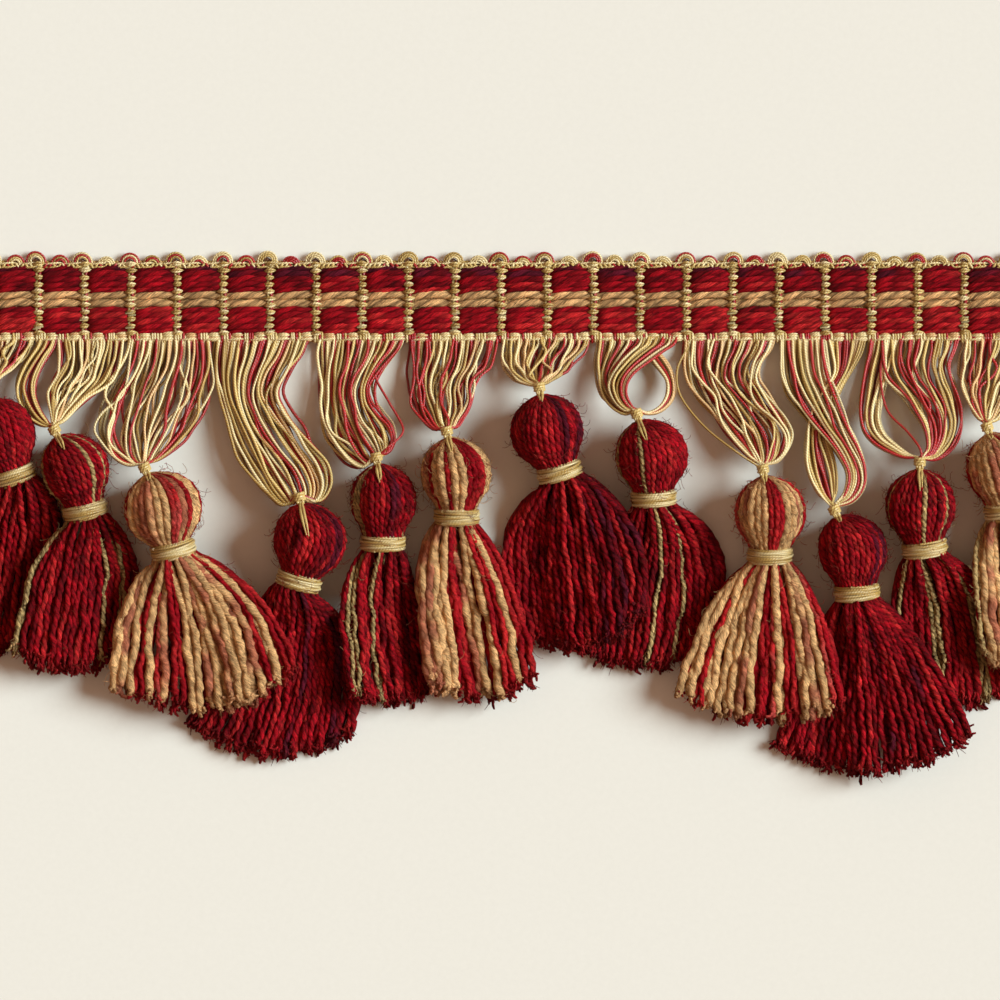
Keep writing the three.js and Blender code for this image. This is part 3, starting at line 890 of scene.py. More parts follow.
STRAYS = (
    Stray(4, Dye.THREAD_RED, ((3.5, 1), (3, 7.7), (6.2, 14), (9.5, 19.7), (9.5, 22.3), (6.2, 25.4))),
    Stray(8, Dye.MOSS, ((-10.6, 1), (-13.3, 6.7), (-12.5, 13), (-7, 20.2), (0.2, 26))),
    Stray(10, Dye.THREAD_RED, ((-8, 1), (-9, 8), (-7.5, 16.3), (-2.7, 21.6), (0.4, 26))),
)


# In waves a metre: how fast the fibres' noise changes with the place on the piece, so that no two strands
# are alike, and how fast their tone drifts.
STRAND_SHIFT = 120.0
DRIFT_SCALE = 170.0


def fill_course(kit: NodeKit, entry: bpy.types.NodeOutputs) -> dict[str, bpy.types.NodeSocket]:
    """Reads a strand's course: millimetres along it, the turn round its plies, and the ply's crown.

    Args:
        kit: The group's kit.
        entry: Its inputs, of which there are none.

    Returns:
        Its outputs.
    """
    course = kit.split(kit.attribute("course", "Vector"))
    angle = kit.math("ARCTAN2", course["Z"], course["Y"])
    turn = kit.math("ADD", angle, kit.math("MULTIPLY", course["X"], kit.attribute("lay", "Fac")))
    side = kit.math("COSINE", turn)
    return {
        "Along": kit.math("MULTIPLY", course["X"], 1 / MM),
        "Turn": turn,
        "Ply": kit.math("ABSOLUTE", side),
        "Round": kit.vector(0.0, side, kit.math("SINE", turn)),
    }


def fill_fibres(kit: NodeKit, entry: bpy.types.NodeOutputs) -> dict[str, bpy.types.NodeSocket]:
    """Fine streaks of fibre that run along a strand's plies, with slower drifts of tone.

    Args:
        kit: The group's kit.
        entry: Its inputs.

    Returns:
        Its outputs.
    """
    along = kit.vector(kit.math("DIVIDE", entry["Along"], entry["Length"]), 0.0, 0.0)
    around = kit.scaled(entry["Round"], entry["Fineness"])
    place = kit.place()
    where = kit.added(kit.added(along, around), kit.scaled(place, STRAND_SHIFT))
    return {"Streak": kit.noise(where, 1.0, 4.0), "Drift": kit.noise(place, DRIFT_SCALE, 2.0)}


STRAND_COURSE = SharedGroup(
    name="strand_course",
    kind="ShaderNodeTree",
    inputs={},
    outputs={"Along": "Float", "Turn": "Float", "Ply": "Float", "Round": "Vector"},
    fill=fill_course,
)
FIBRE_STREAKS = SharedGroup(
    name="fibre_streaks",
    kind="ShaderNodeTree",
    inputs={"Along": "Float", "Round": "Vector", "Fineness": "Float", "Length": "Float"},
    outputs={"Streak": "Float", "Drift": "Float"},
    fill=fill_fibres,
)


class FinishKit(NodeKit):
    """The nodes of one finish round its Principled shader."""

    def __init__(self, name: str) -> None:
        """Starts the material.

        Args:
            name: The material's name.
        """
        self.material = bpy.data.materials.new(name)
        self.material.use_nodes = True
        super().__init__(self.material.node_tree)
        self.shader = self.nodes["Principled BSDF"]

    def strand(
        self, fineness: float, length: float
    ) -> tuple[bpy.types.NodeOutputs, bpy.types.NodeOutputs]:
        """Reads a strand and its fibres.

        Args:
            fineness: How many fibres lie round the strand.
            length: How long they are, in millimetres.

        Returns:
            The outputs of the strand's course, and those of its fibres.
        """
        course = self.add("ShaderNodeGroup", node_tree=STRAND_COURSE.tree)
        inputs = {"Along": course["Along"], "Round": course["Round"], "Fineness": fineness, "Length": length}
        return course, self.add("ShaderNodeGroup", inputs, node_tree=FIBRE_STREAKS.tree)

    def finish(
        self,
        colour: bpy.types.NodeSocket,
        roughness: Feed,
        height: bpy.types.NodeSocket,
        depth: float,
        strength: float = 1.0,
        gloss: float = 0.2,
    ) -> bpy.types.Material:
        """Feeds the shader.

        Args:
            colour: The base colour.
            roughness: The roughness.
            height: The relief.
            depth: How deep the relief is, in millimetres.
            strength: How much of the relief shows.
            gloss: The specular level.

        Returns:
            The material.
        """
        inputs = {"Strength": strength, "Distance": depth * MM, "Height": height}
        relief = self.add("ShaderNodeBump", inputs)["Normal"]
        values = {
            "Base Color": colour,
            "Roughness": roughness,
            "Specular IOR Level": gloss,
            "Normal": relief,
        }
        for name, value in values.items():
            self.feed(self.shader.inputs[name], value)
        return self.material


def around_one(amount: float) -> tuple[float, float]:
    """The range from an amount below one to the same amount above it."""
    return 1.0 - amount, 1.0 + amount


@dataclass(frozen=True)
class WoolFinish:
    """Soft two-ply wool: darker between its plies as painted shade, and streaked with fibre."""

    name: str
    groove_painted_shade: float = 0.42
    streak_depth: float = 0.85
    fibre_length: float = 1.0
    fineness: float = 5.4
    ply_contrast: float = 0.16

    groove_span = (0.05, 0.7)
    streak_span = (0.36, 0.66)
    drift_span = (0.3, 0.7)
    drift_tones = (0.82, 1.2)
    ply_span = (-0.4, 0.4)
    ply_height = 0.8

    def build(self) -> bpy.types.Material:
        """Builds the wool's material.

        Returns:
            The material.
        """
        kit = FinishKit(self.name)
        course, fibres = kit.strand(self.fineness, self.fibre_length)
        side = kit.split(course["Round"])["Y"]
        # Painted shade: the colour darkens towards the grooves between the plies.
        painted_groove_shade = kit.ranged(course["Ply"], self.groove_span, (self.groove_painted_shade, 1.0))
        streak = kit.ranged(fibres["Streak"], self.streak_span, around_one(self.streak_depth))
        drift = kit.ranged(fibres["Drift"], self.drift_span, self.drift_tones)
        ply = kit.ranged(side, self.ply_span, around_one(self.ply_contrast))
        tone = kit.math("MULTIPLY", kit.math("MULTIPLY", painted_groove_shade, streak), kit.math("MULTIPLY", drift, ply))
        colour = kit.scaled(kit.attribute("shade", "Color"), tone)
        height = kit.math("ADD", kit.math("MULTIPLY", course["Ply"], self.ply_height), fibres["Streak"])
        return kit.finish(colour, 0.85, height, depth=0.4, gloss=0.12)


@dataclass(frozen=True)
class SilkFinish:
    """Silky cord or thread: fine slanted twist marks, painted as shade in the twist's grooves and as light
    on its crowns, and a soft gleam.
    """

    name: str
    turn_length: float = 1.4
    twist_shade_depth: float = 0.2
    gleam: float = 0.26
    gloss: float = 0.7

    fineness = 2.4
    fibre_length = 1.6
    mark_span = (-1.0, 0.5)
    streak_span = (0.33, 0.68)
    streak_tones = (0.74, 1.2)
    gleam_span = (0.3, 0.7)
    gleam_loss = 0.16

    def build(self) -> bpy.types.Material:
        """Builds the thread's material.

        Returns:
            The material.
        """
        kit = FinishKit(self.name)
        course, fibres = kit.strand(self.fineness, self.fibre_length)
        advance = kit.math("MULTIPLY", course["Along"], 2 * FULL_TURN / self.turn_length)
        twist = kit.math("SINE", kit.math("ADD", advance, kit.math("MULTIPLY", course["Turn"], 2.0)))
        # Painted shade and light: darker in the twist's grooves, a little lighter on its crowns.
        twist_painted_tones = (1.0 - 1.6 * self.twist_shade_depth, 1.0 + 0.3 * self.twist_shade_depth)
        twist_painted_shade = kit.ranged(twist, self.mark_span, twist_painted_tones)
        streak = kit.ranged(fibres["Streak"], self.streak_span, self.streak_tones)
        colour = kit.scaled(kit.attribute("shade", "Color"), kit.math("MULTIPLY", twist_painted_shade, streak))
        height = kit.math("ADD", kit.math("MULTIPLY", twist, 0.5), fibres["Streak"])
        dull = (self.gleam + self.gleam_loss, self.gleam)
        roughness = kit.ranged(fibres["Streak"], self.gleam_span, dull)
        return kit.finish(colour, roughness, height, depth=0.1, strength=0.7, gloss=self.gloss)


@dataclass(frozen=True)
class GroundFinish:
    """The plain woven ground under the floats: fine ribs of gold and beige thread, with painted shade where
    the weave dips.
    """

    name: str
    rib_pitch: float = 1.3
    thread_pitch: float = 0.7

    fleck_scale = 900.0
    fleck_span = (0.45, 0.6)
    weave_painted_shade = (0.5, 1.1)

    def build(self) -> bpy.types.Material:
        """Builds the ground's material.

        Returns:
            The material.
        """
        kit = FinishKit(self.name)
        place = kit.place()
        spot = kit.split(place)
        rib = kit.math("SINE", kit.math("MULTIPLY", spot["Y"], FULL_TURN / (self.rib_pitch * MM)))
        cross = kit.math("SINE", kit.math("MULTIPLY", spot["X"], FULL_TURN / (self.thread_pitch * MM)))
        weave = kit.math("MULTIPLY", rib, cross)
        noise = kit.noise(place, self.fleck_scale, 3.0)
        base = kit.blended(
            kit.ranged(noise, self.fleck_span, (0.0, 1.0)), Dye.MOSS.value, Dye.BEIGE.value
        )
        # Painted shade: darker where the weave dips, lighter where it rises.
        colour = kit.scaled(base, kit.ranged(weave, (-1.0, 1.0), self.weave_painted_shade))
        height = kit.math("ADD", weave, kit.math("MULTIPLY", rib, 0.5))
        roughness = kit.ranged(noise, (0.3, 0.7), (0.7, 0.5))
        return kit.finish(colour, roughness, height, depth=0.2, strength=0.8)


@dataclass(frozen=True)
class PaperFinish:
    """The pale paper that the trimming lies on."""

    name: str
    tone: tuple[float, float, float]
    mottle: float = 0.012
    grain_scale: float = 700.0

    def build(self) -> bpy.types.Material:
        """Builds the paper's material.

        Returns:
            The material.
        """
        kit = FinishKit(self.name)
        noise = kit.noise(kit.place(), self.grain_scale, 4.0)
        dark, light = (
            tuple(channel * share for channel in self.tone) for share in around_one(self.mottle)
        )
        colour = kit.blended(kit.ranged(noise, (0.3, 0.7), (0.0, 1.0)), dark, light)
        return kit.finish(colour, 0.9, noise, depth=0.1, strength=0.15, gloss=0.1)


@dataclass
class Palette:
    """The finishes of the trimming."""

    silk: bpy.types.Material
    thread: bpy.types.Material
    ground: bpy.types.Material
    floats: bpy.types.Material
    wool: dict[Mix, bpy.types.Material]

    @classmethod
    def build(cls) -> "Palette":
        """Builds every finish.

        Returns:
            The palette.
        """
        tan = WoolFinish("tan_wool", groove_painted_shade=0.8, streak_depth=0.72, ply_contrast=0.05)
        return cls(
            silk=SilkFinish("silky_cord").build(),
            thread=SilkFinish("gold_thread", twist_shade_depth=0.12, gleam=0.22, gloss=0.8).build(),
            ground=GroundFinish("braid_ground").build(),
            floats=WoolFinish("float_wool", fibre_length=2.2, fineness=6.0).build(),
            wool={
                Mix.CRIMSON: WoolFinish("crimson_wool").build(),
                Mix.FLECKED: WoolFinish("flecked_wool").build(),
                Mix.TAN: tan.build(),
            },
        )


@dataclass(frozen=True)
class FloatRow:
    """One row of floats: how far up the face it lies, how high its crown is, and how far its middle bows.

    The letters are the yarns that it may be woven of.
    """

    up: float
    crown: float
    radius: float
    letters: str
    bow: float


@dataclass
class Heading:
    """The woven braid: a ground, three rows of wool floats, ribbed bars, picots and selvages."""

    palette: Palette
    ground_top: float = 9.4
    ground_thickness: float = 0.9
    float_inset: float = 0.8
    float_rise: float = 0.6
    float_shoulder: float = 2.2
    float_turn: float = 8.6
    float_step: float = 0.95
    flecks_per_block: int = 2
    fleck_half: float = 0.9
    fleck_radius: float = 0.17
    bar_reach: float = 1.45
    rib_count: int = 11
    rib_pitch: float = 1.65
    first_rib: float = -7.9
    rib_radius: float = 0.4
    pair_gap: float = 0.33
    under_level: float = 1.3
    under_radius: float = 0.5
    picot_reach: float = 2.15
    picot_radius: float = 0.28
    picot_rings: int = 3
    stitch_reach: float = 1.35
    stitch_rows: int = 4
    first_row: float = -8.1
    row_pitch: float = 0.52
    upright_middle: float = -8.9
    upright_pitch: float = 0.62
    upright_radius: float = 0.32
    top_middle: float = 8.15
    top_columns: int = 5
    edge_radius: float = 0.3
    seed: int = 11

    float_rows = (
        FloatRow(up=7.0, crown=2.3, radius=0.8, letters="p", bow=0.6),
        FloatRow(up=5.85, crown=2.9, radius=0.88, letters="pc", bow=0.5),
        FloatRow(up=4.65, crown=3.15, radius=0.88, letters="c", bow=0.35),
        FloatRow(up=3.5, crown=3.0, radius=0.86, letters="c", bow=0.2),
        FloatRow(up=2.55, crown=2.5, radius=0.74, letters="c", bow=0.1),
        FloatRow(up=0.95, crown=2.35, radius=1.0, letters="t", bow=0.35),
        FloatRow(up=-0.95, crown=2.25, radius=1.0, letters="t", bow=0.2),
        FloatRow(up=-2.75, crown=2.7, radius=0.8, letters="c", bow=0.35),
        FloatRow(up=-3.95, crown=3.1, radius=0.88, letters="r", bow=0.25),
        FloatRow(up=-5.15, crown=3.2, radius=0.88, letters="cr", bow=0.1),
        FloatRow(up=-6.3, crown=3.0, radius=0.86, letters="r", bow=0.0),
        FloatRow(up=-7.3, crown=2.4, radius=0.76, letters="r", bow=-0.15),
    )
    fleck_span = (-7.5, -3.0)
    fleck_levels = (2.3, 2.6, 2.3)
    bar_dyes = (Dye.GOLD, Dye.MOSS, Dye.GOLD, Dye.CREAM)
    under_threads = ((-0.5, Dye.MOSS), (0.35, Dye.THREAD_RED))

    # How high a picot stands and its share of the usual size, by whether it stands on a bar.
    picot_tops = {False: 10.45, True: 11.35}
    picot_sizes = {False: 0.94, True: 1.05}
    picot_dyes = (Dye.CREAM, Dye.GOLD, Dye.MOSS, Dye.THREAD_RED)
    picot_odds = (0.4, 0.24, 0.1, 0.26)
    pillow_dyes = (Dye.CREAM, Dye.BEIGE, Dye.CREAM)
    upright_dyes = (Dye.CREAM, Dye.GOLD, Dye.CREAM, Dye.THREAD_RED)
    top_dyes = (Dye.CREAM, Dye.GOLD, Dye.GOLD, Dye.THREAD_RED)
    edge_threads = ((-9.45, Dye.CREAM, 1.9), (7.9, Dye.GOLD, 1.7), (8.75, Dye.CREAM, 1.4))

    def __post_init__(self) -> None:
        """Settles the band's depth and the source of randomness."""
        self.depth = self.ground_top - HEADING_FOOT
        self.rng = np.random.default_rng(self.seed)

    def build(self) -> list[bpy.types.Object]:
        """Builds and dresses every piece of the heading.

        Returns:
            The ground first, then what is woven on it.
        """
        ground = piece_of("heading_ground", [self._ground()], self.palette.ground)
        silk = self.palette.silk
        pieces = [
            ground,
            piece_of("heading_floats", [self._floats()], self.palette.floats),
            piece_of("heading_bars", [self._bars()], silk),
            piece_of("heading_picots", [self._picots()], silk),
            piece_of("heading_selvage", [self._selvage()], silk),
        ]
        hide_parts("heading")
        return pieces

    def _ground(self) -> bpy.types.Mesh:
        """The flat woven band.

        Returns:
            The mesh, in metres.
        """
        band = bmesh.new()
        bmesh.ops.create_grid(band, x_segments=96, y_segments=8, size=0.5)
        bmesh.ops.scale(band, vec=(HEADING_LENGTH * MM, self.depth * MM, 1.0), verts=band.verts)
        middle = (self.ground_top + HEADING_FOOT) / 2
        bmesh.ops.translate(band, vec=(0, middle * MM, 0), verts=band.verts)
        raised = bmesh.ops.extrude_face_region(band, geom=band.faces[:])
        top = [item for item in raised["geom"] if isinstance(item, bmesh.types.BMVert)]
        bmesh.ops.translate(band, vec=(0, 0, self.ground_thickness * MM), verts=top)
        bmesh.ops.recalc_face_normals(band, faces=band.faces)
        mesh = bpy.data.meshes.new("heading_ground")
        band.to_mesh(mesh)
        band.free()
        return mesh

    def _float_path(self, row: FloatRow, start: float, end: float) -> np.ndarray:
        """One float: down to the ground at both of its bars, and a full crown between them.

        Args:
            row: The row that it lies in.
            start: Where it comes up, along the heading.
            end: Where it goes down.

        Returns:
            The path's points.
        """
        rng = self.rng
        lean = rng.normal(0.25, 0.12)
        crown = row.crown - row.radius + rng.normal(0, 0.08)
        shoulder = row.bow * 0.6
        return through(
            [
                (start, row.up - lean, GROUND_FLOOR),
                (start + self.float_rise, row.up - lean, crown - 0.6),
                (start + self.float_shoulder, row.up - lean * 0.5 + shoulder, crown - 0.12),
                ((start + end) / 2, row.up + row.bow + rng.normal(0, 0.1), crown),
                (end - self.float_shoulder, row.up + lean * 0.5 + shoulder, crown - 0.12),
                (end - self.float_rise, row.up + lean, crown - 0.6),
                (end, row.up + lean, GROUND_FLOOR),
            ],
            self.float_step,
        )

    def _floats(self) -> bpy.types.Mesh:
        """The wool floats, block by block and row by row, with a few flecks of pale fibre.

        Returns:
            The mesh, in metres.
        """
        rng = self.rng
        skein = Skein(Section(6, 0.1))
        for block in range(BAR_COUNT):
            start = block * BAR_PITCH - HEADING_LENGTH / 2 + self.float_inset
            end = start + BAR_PITCH - 2 * self.float_inset
            for row in self.float_rows:
                path = self._float_path(row, start, end)
                yarn = pick_yarn(row.letters[rng.integers(len(row.letters))], rng)
                shade = yarn_shade(yarn, lengths_along(path), rng)
                skein.lay(path, row.radius, shade, self.float_turn, rng.uniform(0, math.pi))
            for _ in range(self.flecks_per_block):
                x = (start - 0.5, end + 0.5)[rng.integers(2)]
                y = rng.uniform(*self.fleck_span)
                places = ((x - self.fleck_half, y - 0.1), (x, y), (x + self.fleck_half, y + 0.1))
                fleck = np.column_stack([places, self.fleck_levels])
                skein.lay(fleck, self.fleck_radius, Dye.CREAM.colour)
        return skein.mesh("heading_floats", floor=GROUND_FLOOR)

    def _bars(self) -> bpy.types.Mesh:
        """The crosswise bars, each a column of spindle-shaped pairs of thread.

        Returns:
            The mesh, in metres.
        """
        rng = self.rng
        skein = Skein(Section(4))
        shares = np.linspace(-1, 1, 7)
        belly = 1 - np.abs(shares) ** 1.5
        edge = HEADING_LENGTH / 2 - self.bar_reach
        for bar in range(BAR_COUNT + 1):
            x = min(max(bar * BAR_PITCH - HEADING_LENGTH / 2, -edge), edge)
            sway = rng.uniform(0, 6)
            for rib in range(self.rib_count):
                y = self.first_rib + rib * self.rib_pitch + rng.normal(0, 0.07)
                reach = self.bar_reach * rng.uniform(0.9, 1.1)
                middle = x + 0.15 * math.sin(rib * 0.9 + sway)
                for side in (-1, 1):
                    path = np.column_stack([
                        middle + shares * reach,
                        y + side * self.pair_gap * belly + 0.1 * shares,
                        2.3 - 0.8 * shares**2 + 0.12 * side,
                    ])
                    dye = self.bar_dyes[rng.integers(4)].colour
                    radius = self.rib_radius * (0.3 + 0.7 * belly)
                    skein.lay(path, radius, dye * rng.uniform(0.85, 1.1), phase=rng.uniform(0, 3))
            under = np.array([(x, y, self.under_level) for y in (-8.4, 0.0, self.ground_top - 0.4)])
            # The threads under the ribs are darkened by a fifth: painted shade under the ribs.
            for side, dye in self.under_threads:
                skein.lay(evenly(under + (side, 0, 0), 3.0), self.under_radius, dye.colour * 0.8)
        return skein.mesh("heading_bars", floor=GROUND_FLOOR)

    def _picots(self) -> bpy.types.Mesh:
        """The arches of thread along the top edge, tall on the bars and lower between them, each with a dark
        strand of painted shadow in its eye.

        Returns:
            The mesh, in metres.
        """
        rng = self.rng
        skein = Skein(Section(5))
        angles = np.linspace(-0.5, math.pi + 0.5, 15)
        # A dark strand in each arch's eye stands for the shadow in the hole: painted shadow.
        eye_painted_shadow = mix(Dye.THREAD_RED.colour, Dye.MOSS.colour, 0.5) * 0.3
        for arch in range(1, 2 * BAR_COUNT):
            on_bar = arch % 2 == 0
            x = arch * (BAR_PITCH / 2) - HEADING_LENGTH / 2 + rng.normal(-0.3, 0.2)
            top = self.picot_tops[on_bar] + rng.normal(0, 0.12)
            size = self.picot_reach * self.picot_sizes[on_bar]
            lean = rng.normal(0, 0.12)
            foot = top - size
            eye = np.array([(x - 1.1, foot, 0.7), (x, foot + 0.5, 0.8), (x + 1.1, foot, 0.7)])
            skein.lay(eye, np.array([0.3, 0.6, 0.3]), eye_painted_shadow)
            for ring in range(self.picot_rings):
                reach = size - 0.5 * ring
                path = np.column_stack([
                    x - reach * np.cos(angles) + lean * np.sin(angles),
                    foot + reach * np.sin(angles),
                    1.0 + 0.15 * ring + 0.3 * np.sin(angles) + rng.normal(0, 0.05),
                ])
                dye = self.picot_dyes[rng.choice(4, p=self.picot_odds)].colour
                shade = dye * rng.uniform(0.9, 1.05)
                skein.lay(path, self.picot_radius, shade, phase=rng.uniform(0, 3))
        return skein.mesh("heading_picots", floor=TABLE_FLOOR)

    def _selvage(self) -> bpy.types.Mesh:
        """The stitched selvages: pillows and upright threads along the foot, small stitches on top.

        Returns:
            The mesh, in metres.
        """
        rng = self.rng
        skein = Skein(Section(4))
        shares = np.linspace(-1, 1, 6)
        arch = 1 - shares**2
        half = BAR_PITCH / 2
        for stitch in range(2 * BAR_COUNT):
            upright = stitch * half - HEADING_LENGTH / 2 + 0.6
            pillow = upright + half * 0.5
            for row in range(self.stitch_rows):
                y = self.first_row - row * self.row_pitch + rng.normal(0, 0.05)
                path = np.column_stack([
                    pillow + shares * self.stitch_reach,
                    y + 0.08 * shares,
                    1.45 + 0.55 * arch - 0.1 * abs(row - 1),
                ])
                skein.lay(path, 0.33 + 0.07 * arch, self.pillow_dyes[rng.integers(3)].colour)
            for column in range(len(self.upright_dyes)):
                x = upright + (column - 1.5) * self.upright_pitch + rng.normal(0, 0.05)
                y = self.upright_middle - self.stitch_reach * shares
                path = np.column_stack([x + 0.06 * shares, y, 1.3 + 0.75 * arch])
                skein.lay(path, self.upright_radius, self.upright_dyes[rng.integers(4)].colour)
            for column in range(self.top_columns):
                x = upright + column * half / self.top_columns
                lean = rng.choice((-0.5, 0.5))
                y = self.top_middle + 0.6 * shares
                path = np.column_stack([x + lean * shares, y, 1.3 + 0.6 * arch])
                skein.lay(path, self.edge_radius, self.top_dyes[rng.integers(4)].colour)
        along = np.arange(-HEADING_LENGTH / 2 + 0.4, HEADING_LENGTH / 2 - 0.4, 0.69)
        for y, dye, height in self.edge_threads:
            wave = FULL_TURN * along / half + y
            path = np.column_stack([along, y + 0.12 * np.sin(wave), height + 0.3 * np.cos(wave)])
            skein.lay(path, self.edge_radius, dye.colour)
        return skein.mesh("heading_selvage", floor=TABLE_FLOOR)


def wing(values: tuple[float, float, float], across: np.ndarray, outward: Values) -> np.ndarray:
    """Between a skirt's middle value and its left or right one.

    Args:
        values: The values at the left wing, the middle and the right wing.
        across: Shares across the skirt, from -1 to 1.
        outward: The share of the wing's value.

    Returns:
        The value at each share.
    """
    side = np.where(across < 0, values[0], values[2])
    return mix(values[1], side, outward)


@dataclass
class HungPiece:
    """What hangs at one tassel's place, with the place's points and a source of randomness of its own."""

    index: int
    palette: Palette
    seed: int = 0

    def __post_init__(self) -> None:
        """Settles the points and the directions of the place."""
        self.place = PLACES[self.index]
        self.number = f"{self.index + 1:02d}"
        self.ring = self.place.ring(self.index)
        self.head = self.place.head(self.index)
        self.hang = unit(self.ring - self.head)
        self.beside = unit(np.cross(self.hang, (0, 0, 1)))
        self.rng = np.random.default_rng(self.seed + self.index)

    def _dressed(
        self, meshes: Sequence[bpy.types.Mesh], material: bpy.types.Material, slot: str, node: str
    ) -> bpy.types.Object:
        """Makes the finished piece.

        Args:
            meshes: Its meshes, of which the first has the piece's name.
            material: Its finish.
            slot: Its slot in the record; this method does not use it.
            node: The CAD node that it stands for, without its number.

        Returns:
            The piece.
        """
        piece = piece_of(meshes[0].name, meshes, material)
        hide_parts(f"{node}_{self.number}")
        return piece


@dataclass
class LoopCluster(HungPiece):
    """A skein of silky threads that hangs from the selvage and is gathered at its foot."""

    thread_radius: float = 0.39
    stray_radius: float = 0.3
    step: float = 1.05
    edge_step: float = 0.5
    layers: int = 4
    layer_height: float = 0.8
    painted_layer_shade: float = 0.12
    loose_share: float = 0.2
    looseness: float = 2.4
    root_rise: float = 1.5
    root_level: float = 1.6
    lowest: float = 0.7
    gather_radius: float = 0.55
    gather_length: float = 0.9
    pinch: float = 0.35
    seed: int = 23

    dyes = (Dye.CREAM, Dye.GOLD, Dye.MOSS, Dye.BEIGE, Dye.THREAD_RED)
    dye_odds = (0.25, 0.22, 0.12, 0.09, 0.32)

    def build(self) -> bpy.types.Object:
        """Builds and dresses the cluster.

        Returns:
            The piece.
        """
        skein = Skein(Section(4))
        for sheaf in CLUSTERS[self.index]:
            self._lay_sheaf(skein, sheaf)
        for stray in STRAYS:
            if stray.cluster == self.index:
                flat = self._on_face(stray.places)
                levels = np.linspace(2.0, self.ring[2] + 1.2, len(flat))
                path = through([*np.column_stack([flat, levels]), self.ring], self.step)
                skein.lay(path, self.stray_radius, stray.dye.colour)
        mesh = skein.mesh(f"loop_threads_{self.number}", floor=TABLE_FLOOR)
        return self._dressed([mesh], self.palette.silk, "loop_thread", "loops")

    def _on_face(self, places: Sequence[tuple[float, float]]) -> np.ndarray:
        """Places of the cluster as X and Y on the face."""
        middle = cluster_middle(self.index)
        return np.array([(middle + across, HEADING_FOOT - down) for across, down in places])

    def _edge(self, places: tuple[tuple[float, float], ...]) -> np.ndarray:
        """An edge of a sheaf in plan.

        Args:
            places: Its places, as the sheaf has them.

        Returns:
            Its points, from just above the selvage's foot to the knot.
        """
        flat = np.vstack([self._on_face(places), self.ring[:2]])
        root = flat[0] + (0.0, self.root_rise)
        edge = np.column_stack([np.vstack([root, flat]), np.zeros(len(flat) + 1)])
        return through(edge, self.edge_step)[:, :2]

    def _lay_sheaf(self, skein: Skein, sheaf: Sheaf) -> None:
        """Lays one sheaf of threads, in layers that a few loose threads leave.

        Args:
            skein: The skein that takes them.
            sheaf: The sheaf's edges.
        """
        rng, ring, hang, beside = self.rng, self.ring, self.hang, self.beside
        stations = np.linspace(0, 1, 11)
        left = along_at(self._edge(sheaf.left), stations)
        right = along_at(self._edge(sheaf.right), stations)
        dyes = self._dye_order(sheaf.count)
        rise = mix(self.root_level, ring[2] + 0.2, stations**1.6)
        belly = np.sin(math.pi * np.clip(stations * 1.05, 0, 1)) ** 0.6
        for k in range(sheaf.count):
            layer = (k * 3) % self.layers - (self.layers - 1) / 2
            loose = self.looseness if rng.random() < self.loose_share else 1.0
            drift = wander(stations * 30, 30, rng) * 0.05 * loose
            share = (k + 0.5) / sheaf.count
            across = np.clip(share + drift * np.sin(math.pi * stations), -0.03, 1.03)[:, None]
            flat = left * (1 - across) + right * across
            lift = layer * self.layer_height + sheaf.level + rng.normal(0, 0.2) + (loose - 1) * 0.4
            spots = np.column_stack([flat, np.maximum(rise + lift * belly, self.lowest)])[:-1]
            angle = rng.uniform(0, FULL_TURN)
            around = math.cos(angle) * beside + math.sin(angle) * np.cross(hang, beside)
            offset = self.gather_radius * around + beside * (0.5 - share) * 0.5
            above = ring + hang * self.gather_length + offset
            below = ring - hang * self.gather_length + offset * 0.7
            path = through([*spots, above, below], self.step)
            share_along = lengths_along(path) / lengths_along(path)[-1]
            pinch = 1 - self.pinch * smooth_share(share_along, 0.86, 0.97)
            radius = self.thread_radius * rng.uniform(0.85, 1.08) * pinch
            # Painted shade: lower layers are darker and upper ones lighter.
            tone = 1 + self.painted_layer_shade * layer - 0.06
            shade = dyes[k] * rng.uniform(0.88, 1.08) * tone
            skein.lay(path, radius, shade, phase=rng.uniform(0, 3))

    def _dye_order(self, count: int) -> list[np.ndarray]:
        """Dyes for threads side by side, which often come in pairs.

        Args:
            count: How many threads there are.

        Returns:
            Each thread's colour.
        """
        found: list[np.ndarray] = []
        while len(found) < count:
            dye = self.dyes[self.rng.choice(5, p=self.dye_odds)]
            found.extend([dye.colour] * int(self.rng.integers(1, 3)))
        return found[:count]


